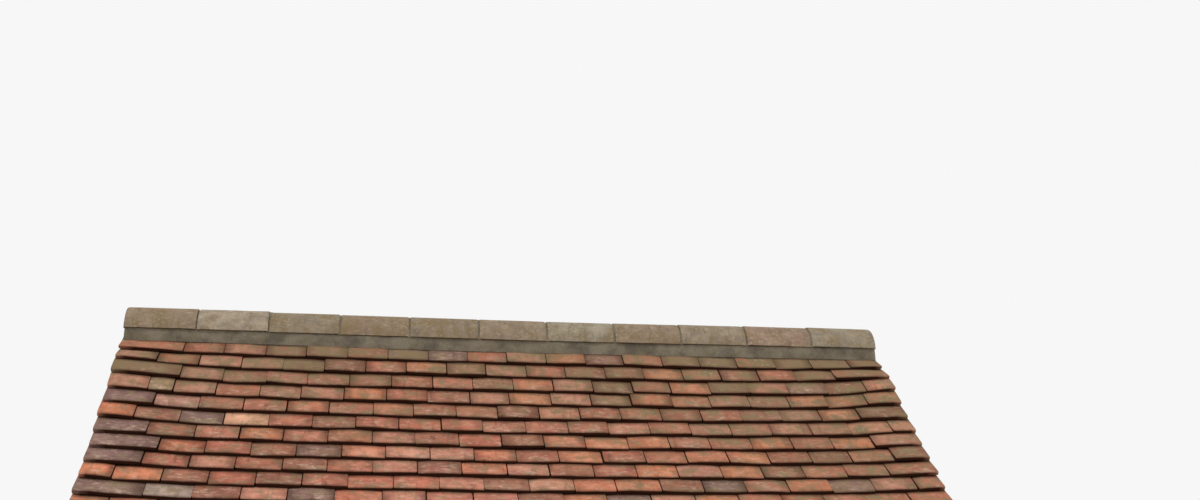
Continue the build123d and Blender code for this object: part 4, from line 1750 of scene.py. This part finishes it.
def peg_places():
    """Places and directions of the pegs of the back quarter of the east side.

    Two pegs hold each post foot and head, two each end of a brace, one each rail end, and one
    the foot of a king post.
    """
    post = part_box("east_back_post")
    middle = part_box("east_middle_post")
    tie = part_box("east_tie_beam")
    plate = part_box("back_wall_plate")
    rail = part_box("east_rails")
    post_y = (post[0].y + post[1].y) / 2
    for x, out in faces_across(post, 0):
        for offset in (-PEG_PAIR, PEG_PAIR):
            for y, (low, high) in ((post_y + offset, post), (offset * MIDDLE_PAIR, middle)):
                yield (x, y, low.z + FOOT_PEG), out
                yield (x, y, high.z - HEAD_PEG), out
        yield (x, post[0].y + EDGE_PEG, (rail[0].z + rail[1].z) / 2), out
        for inset, offset in zip((EDGE_PEG + 2 * MM, EDGE_PEG), SIDE_PEGS):
            z = rail[1].z + SIDE_BRACE.foot + offset
            yield (x, post[0].y + inset, z), out
    for x, out in faces_across(tie, 0):
        for offset in SIDE_PEGS:
            y = post[0].y - SIDE_BRACE.head - offset
            yield (x, y, tie[0].z + BEAM_PEG), out
        yield (x, EDGE_PEG, tie[1].z - KING_PEG), out
    for y, out in faces_across(post, 1):
        for offset in ARCH_FOOT_PEGS:
            z = plate[0].z - ARCH_BRACE.foot - offset
            yield (post[0].x + BEAM_PEG, y, z), out
    for y, out in faces_across(plate, 1):
        for offset in ARCH_HEAD_PEGS:
            x = post[0].x - ARCH_BRACE.head - offset
            yield (x, y, plate[0].z + PLATE_PEG), out


class LYCHGATE_OT_pegs(Operator):
    """Drive the oak pegs of the frame"""

    bl_idname = "lychgate.pegs"
    bl_label = "Pegs"

    def execute(self, context):
        random = np.random.default_rng(141)
        for name, end in WEST_EAST:
            pegs = []
            for row in (-1, 1):
                flip = np.array([end, row, 1])
                for place, direction in peg_places():
                    pegs.append(peg(random, place * flip, direction * flip))
            oak_piece(join(pegs), name=f"{name}_pegs")
        return {"FINISHED"}


# Brick walls and copings


# Signs of four places round a rectangle.
AROUND = ((-1, -1), (1, -1), (1, 1), (-1, 1))


def corner_start(axis, sign, first, second):
    """Number of the first vertex of the corner of a unit brick that has these signs along an
    axis and along the two that follow it."""
    x, y, z = np.roll((sign, first, second), axis) > 0
    return 3 * (4 * x + 2 * y + z)


def brick_template():
    """Corners of a unit brick: each of its eight corners is three points, one on each face.

    Returns their signs and which of the three directions each keeps at full size, then the six
    faces and twelve worn edges, and the eight worn corners, as vertex numbers.
    """
    signs = np.array([(x, y, z) for x in (-1, 1) for y in (-1, 1) for z in (-1, 1)])
    quads = []
    for axis in range(3):
        first, second = (axis + 1) % 3, (axis + 2) % 3
        for sign in (-1, 1):
            quads.append([corner_start(axis, sign, a, b) + axis for a, b in AROUND][::sign])
        for a, b in AROUND:
            low, high = corner_start(axis, -1, a, b), corner_start(axis, 1, a, b)
            quads.append([low + first, low + second, high + second, high + first][::a * b])
    corners = np.arange(24).reshape(8, 3)
    corners = np.where(signs.prod(1)[:, None] > 0, corners, corners[:, ::-1])
    return signs.repeat(3, 0), np.tile(np.eye(3), (8, 1)), np.array(quads), corners


def wall_bricks(low, high):
    """Middles and sizes of the bricks that show on a wall, in English bond.

    One course is pairs of stretchers side by side with a header at one end, and the next is
    headers through the wall, with a closer beside each corner header. In a course of
    stretchers, a short brick fills each end of the wall between the pair.
    """
    walls = settings("walls")
    module = (high[1] - low[1] + walls.joint) / walls.modules
    header = module - walls.joint
    rise = walls.course - walls.joint
    thickness = high[0] - low[0]
    fill = thickness - 2 * header - 2 * walls.joint
    middles, sizes = [], []
    for course in range(int(round((high[2] - low[2]) / walls.course))):
        z = low[2] + (course + 0.5) * walls.course
        if course % 2:
            widths = [1.0, 0.5] + [1.0] * (walls.modules - 3) + [0.5, 1.0]
            depth = 2 * module - walls.joint
        else:
            widths = [2.0] * (walls.modules // 2)
            widths = widths + [1.0] if course % 4 else [1.0] + widths
            depth = header
        starts = low[1] + np.concatenate([[0.0], np.cumsum(widths)[:-1]]) * module
        for start, width in zip(starts, widths):
            size = width * module - walls.joint
            for side in (-1, 1):
                shown = depth if side * (1 if course % 4 == 1 else -1) > 0 else header
                edge = high[0] if side > 0 else low[0]
                middles.append((edge - side * shown / 2, start + size / 2, z))
                sizes.append((shown, size, rise))
        if course % 2 == 0:
            for y, side in ((low[1], 1), (high[1], -1)):
                middles.append((low[0] + thickness / 2, y + side * header / 2, z))
                sizes.append((fill, header, rise))
    return np.array(middles), np.array(sizes)


# Bounds of the bricks' worn edges, of what they are smaller than their places, and of the
# unevenness of their corners, in mm.
BRICK_WORN = (2.0, 5.0)
BRICK_SMALLER = (0, 1.2)
BRICK_UNEVEN = (-0.6, 0.6)

# The most of another tone in a brick's tint, the mean and spread of its brightness, and the
# damp foot of the wall: its most and its height.
BRICK_SECOND_TONE = 0.75
BRICK_BRIGHT = (0.92, 0.12)
WALL_DAMP = 0.75
WALL_DAMP_HEIGHT = 0.3


def bricks(random, low, high):
    """All bricks of a wall as one shape: unit bricks stretched to their sizes, the points of
    each corner drawn in by the width of the worn edge, and jittered by less than a mm."""
    middles, sizes = wall_bricks(low, high)
    count = len(middles)
    signs, full, quads, corners = brick_template()
    worn = random.uniform(*BRICK_WORN, (count, 1, 1)) * MM
    half = sizes[:, None] / 2 - random.uniform(*BRICK_SMALLER, (count, 1, 3)) * MM
    points = middles[:, None] + signs * (half - worn * (1 - full))
    points = points + random.uniform(*BRICK_UNEVEN, points.shape) * MM
    points = np.clip(points, low, high)
    tones = settings("colours")
    other = np.array([getattr(tones, name)[:] for name in ("orange", "plum", "brown", "red")])
    share = random.random((count, 1)) * BRICK_SECOND_TONE
    tint = np.array(tones.brick[:]) * (1 - share) + other[random.integers(0, 4, count)] * share
    tint = tint * random.normal(*BRICK_BRIGHT, (count, 1))
    damp = np.clip(WALL_DAMP - (points[..., 2] - low[2]) / WALL_DAMP_HEIGHT, 0, WALL_DAMP)
    values = {"tint": np.repeat(np.clip(tint, 0.02, 1), len(signs), 0), "soil_and_shade": damp.ravel()}
    return repeated(points, [quads, corners], values)


BLOCK_STEP = 0.1
BLOCK_WORN = 1 * MM


def plain_block(low, high):
    """A block between two corners: its outline carried along Y."""
    low, high = np.array(low, float), np.array(high, float)
    along = stations(0.0, high[1] - low[1], BLOCK_STEP)
    outline = squared(len(along), high[0] - low[0], high[2] - low[2], BLOCK_WORN)
    points = carried(outline, along, *middle_line(low, high, 1), UP)
    return bar(points, along, around_outline(outline[0]))


class LYCHGATE_OT_walls(Operator):
    """Lay the bricks of both dwarf walls in mortar"""

    bl_idname = "lychgate.walls"
    bl_label = "Dwarf walls"

    def execute(self, context):
        random = np.random.default_rng(151)
        recess = settings("walls").recess
        inset = np.array([recess, recess, 0])
        for name in ("west", "east"):
            node_name = f"{name}_plinth_wall"
            low, high = (np.array(corner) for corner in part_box(node_name))
            make_piece(f"{name}_wall_bricks", bricks(random, low, high), "soft_red_brick")
            core = plain_block(low + inset, high - inset)
            make_piece(f"{name}_wall_mortar", core, "lime_mortar", node_name)
        return {"FINISHED"}


# Half outline of a coping: the height of its upright edge, half the width of the flat seat, the
# bend of the weathered slope out from the seat and down, the radius of the drip and its distance
# in from the edge, and the worn edges.
COPING_EDGE = 0.05
COPING_SEAT = 0.0955
COPING_BEND = (0.05, 0.0125)
DRIP_RADIUS = 0.007
DRIP_INSET = 0.018
COPING_WORN = 0.006

# The stones: the step between outlines, where the worn ends start and how far they are drawn
# in, the unevenness, the soil on the upright edge and up to what height, the spread of their
# lengths, and the mortar under and between them.
STONE_STEP = 0.07
STONE_WORN_LENGTH = 4 * MM
STONE_WORN = 3 * MM
STONE_UNEVEN = 2.2 * MM
STONE_SOIL = 0.35
STONE_SOIL_HEIGHT = 0.03
STONE_SHIFT = 0.03
COPING_MORTAR_INSET = 7 * MM
COPING_MORTAR_HEIGHT = 0.045


def coping_outline(low, high):
    """Half-round drips, upright edges, two weathered slopes and a flat seat, as X and Z pairs."""
    edge = (high.x - low.x) / 2
    rise = high.z - low.z
    drip = circle_points(np.linspace(np.pi, 0, 5)) * DRIP_RADIUS
    groove = drip + np.array([edge - DRIP_INSET, 0.0])
    right = np.array([
        (edge - COPING_WORN / 2, 0.0),
        (edge, COPING_WORN),
        (edge, COPING_EDGE - COPING_WORN),
        (edge - COPING_WORN, COPING_EDGE),
        (COPING_SEAT + COPING_BEND[0], rise - COPING_BEND[1]),
        (COPING_SEAT, rise),
        (0.0, rise),
    ])
    half = np.concatenate([groove, right])
    return np.concatenate([half, half[-2::-1] * np.array([-1, 1])])


def coping_stone(random, low, high, start, stop):
    """One coping stone: the coping's outline carried along Y, uneven, its ends a little worn
    and its underside flat."""
    outline = coping_outline(low, high)
    worn_ends = (start + STONE_WORN_LENGTH, stop - STONE_WORN_LENGTH)
    y = stations(start, stop, STONE_STEP, worn_ends)
    ends = np.where((y < worn_ends[0]) | (y > worn_ends[1]), STONE_WORN, 0.0)[:, None]
    centre = np.array([0.0, (high.z - low.z) / 2])
    reach = np.linalg.norm(outline - centre, axis=1)
    shrink = 1 - (waver(random, len(y), len(outline), STONE_UNEVEN) + ends) / reach
    moved = centre + (outline - centre) * shrink[..., None]
    bed = outline[:, 1] < 1 * MM
    moved[:, bed, 1] = outline[bed, 1]
    middle_x = (low.x + high.x) / 2
    points = carried(moved, y - start, (middle_x, start, low.z), (middle_x, stop, low.z), UP)
    soil_and_shade = np.where(outline[:, 1] < STONE_SOIL_HEIGHT, STONE_SOIL, 0.0)
    return bar(points, y, around_outline(outline), {"soil_and_shade": soil_and_shade[None]})


class LYCHGATE_OT_copings(Operator):
    """Bed the coping stones on both walls"""

    bl_idname = "lychgate.copings"
    bl_label = "Copings"

    def execute(self, context):
        random = np.random.default_rng(161)
        walls = settings("walls")
        half_joint = 0.4 * walls.joint
        inset = COPING_MORTAR_INSET
        for name in ("west", "east"):
            node_name = f"{name}_coping"
            low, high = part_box(node_name)
            edges = np.linspace(low.y, high.y, walls.stones + 1)
            edges[1:-1] += random.uniform(-STONE_SHIFT, STONE_SHIFT, walls.stones - 1)
            stones = join([
                coping_stone(random, low, high, start + half_joint, stop - half_joint)
                for start, stop in zip(edges[:-1], edges[1:])
            ])
            make_piece(f"{name}_coping_stones", stones, "coping_limestone", node_name, sharp=28.0)
            core = plain_block(
                (low.x + inset, low.y + inset, low.z + 1 * MM),
                (high.x - inset, high.y - inset, low.z + COPING_MORTAR_HEIGHT),
            )
            make_piece(f"{name}_coping_mortar", core, "lime_mortar")
        return {"FINISHED"}


# Stage


def soft_light(name, towards, strength, spread):
    """A far soft lamp in a direction, seen from the gate as wide as its spread in degrees."""
    data = bpy.data.lights.new(name, "SUN")
    data.energy = strength
    data.angle = np.radians(spread)
    lamp = bpy.data.objects.new(name, data)
    bpy.context.scene.collection.objects.link(lamp)
    lamp.rotation_euler = Vector(towards).to_track_quat("Z", "Y").to_euler()


def pale_to_camera(tree, light, pale):
    """Shows an even pale colour to the camera and to reflections, and a light to other rays."""
    rays = node(tree, "LightPath").outputs
    seen = rays["Is Camera Ray"]
    for other in ("Is Glossy Ray", "Is Transmission Ray"):
        seen = node(tree, "Math", {0: seen, 1: rays[other]}, operation="MAXIMUM").outputs[0]
    plain = node(tree, "Background", {"Color": (pale, pale, pale, 1.0), "Strength": 1.0})
    mixed = node(tree, "MixShader", {0: seen, 1: light.outputs[0], 2: plain.outputs[0]})
    node(tree, "OutputWorld", {"Surface": mixed.outputs[0]})


FLOOR_REACH = 30.0
FLOOR_COLOUR = (0.83, 0.82, 0.80, 1.0)
SKY_COLOUR = (0.97, 0.98, 1.0, 1.0)
SKY_STRENGTH = 0.55
SENSOR_WIDTH = 36.0

# Each lamp: its direction from the gate, its strength and its width in degrees.
LAMPS = {
    "key_lamp": ((-0.40, -0.42, 0.85), 1.45, 22.0),
    "fill_lamp": ((0.75, -0.55, 0.40), 0.35, 60.0),
    "back_lamp": ((0.30, 0.80, 0.60), 0.45, 60.0),
}


class LYCHGATE_OT_stage(Operator):
    """Set up the floor, the pale surroundings, the lamps and the camera"""

    bl_idname = "lychgate.stage"
    bl_label = "Stage"

    def execute(self, context):
        stage = settings("stage")
        scene = context.scene
        scene.view_settings.view_transform = "Standard"
        self.add_floor(scene)
        world = bpy.data.worlds.new("pale_surroundings")
        world.use_nodes = True
        tree = world.node_tree
        tree.nodes.clear()
        light = node(tree, "Background", {"Color": SKY_COLOUR, "Strength": SKY_STRENGTH})
        pale_to_camera(tree, light, stage.pale)
        scene.world = world
        for name, (towards, strength, spread) in LAMPS.items():
            soft_light(name, towards, strength, spread)
        self.add_camera(scene, stage)
        return {"FINISHED"}

    def add_floor(self, scene):
        """Lays a plain pale floor under the gate, level with the ground."""
        mesh = bpy.data.meshes.new("floor")
        corners = [(x, y, 0) for x, y in AROUND]
        mesh.from_pydata(np.array(corners) * FLOOR_REACH, [], [(0, 1, 2, 3)])
        floor = bpy.data.objects.new("floor", mesh)
        scene.collection.objects.link(floor)
        material, _, surface = start_material("pale_floor", 0.9, 0.1)
        surface.inputs["Base Color"].default_value = FLOOR_COLOUR
        mesh.materials.append(material)

    def add_camera(self, scene, stage):
        """Puts the camera at its place. It looks along +Y before it is turned to the east by the
        yaw, up by the tilt and about its own axis by the roll."""
        data = bpy.data.cameras.new("camera")
        data.lens = stage.lens
        data.sensor_width = SENSOR_WIDTH
        camera = bpy.data.objects.new("camera", data)
        scene.collection.objects.link(camera)
        place = Matrix.Translation((stage.east, -stage.back, stage.eye))
        for turn, axis in ((-stage.yaw, "Z"), (np.pi / 2 + stage.tilt, "X"), (stage.roll, "Z")):
            place = place @ Matrix.Rotation(turn, 4, axis)
        camera.matrix_world = place
        scene.camera = camera


# Add-on


class LYCHGATE_PT_panel(Panel):
    """Lists the operators and the sizes of the lychgate"""

    bl_label = "Lychgate"
    bl_idname = "LYCHGATE_PT_panel"
    bl_space_type = "VIEW_3D"
    bl_region_type = "UI"
    bl_category = "Lychgate"

    def draw(self, context):
        for operator in OPERATORS:
            self.layout.operator(operator.bl_idname)
        for name, group in GROUPS.items():
            box = self.layout.box()
            box.label(text=name.capitalize())
            for setting in group.__annotations__:
                box.prop(settings(name), setting)


GROUPS = {
    "roof": LychgateRoof,
    "oak": LychgateOak,
    "walls": LychgateWalls,
    "colours": LychgateColours,
    "stage": LychgateStage,
}
OPERATORS = (
    LYCHGATE_OT_roof_tiles,
    LYCHGATE_OT_verges,
    LYCHGATE_OT_ridge,
    LYCHGATE_OT_roof_boards,
    LYCHGATE_OT_rafters,
    LYCHGATE_OT_frame,
    LYCHGATE_OT_braces,
    LYCHGATE_OT_screens,
    LYCHGATE_OT_pegs,
    LYCHGATE_OT_walls,
    LYCHGATE_OT_copings,
    LYCHGATE_OT_stage,
)
CLASSES = (*GROUPS.values(), *OPERATORS, LYCHGATE_PT_panel)


def register():
    """Adds the classes and the scene's groups of settings."""
    for kind in CLASSES:
        bpy.utils.register_class(kind)
    for name, group in GROUPS.items():
        setattr(bpy.types.Scene, "lychgate_" + name, PointerProperty(type=group))


def unregister():
    """Takes the groups of settings and the classes away."""
    for name in GROUPS:
        delattr(bpy.types.Scene, "lychgate_" + name)
    for kind in reversed(CLASSES):
        bpy.utils.unregister_class(kind)


def main():
    """Makes every piece and the stage."""
    register()
    for operator in OPERATORS:
        group, name = operator.bl_idname.split(".")
        getattr(getattr(bpy.ops, group), name)()


if __name__ == "__main__":
    main()
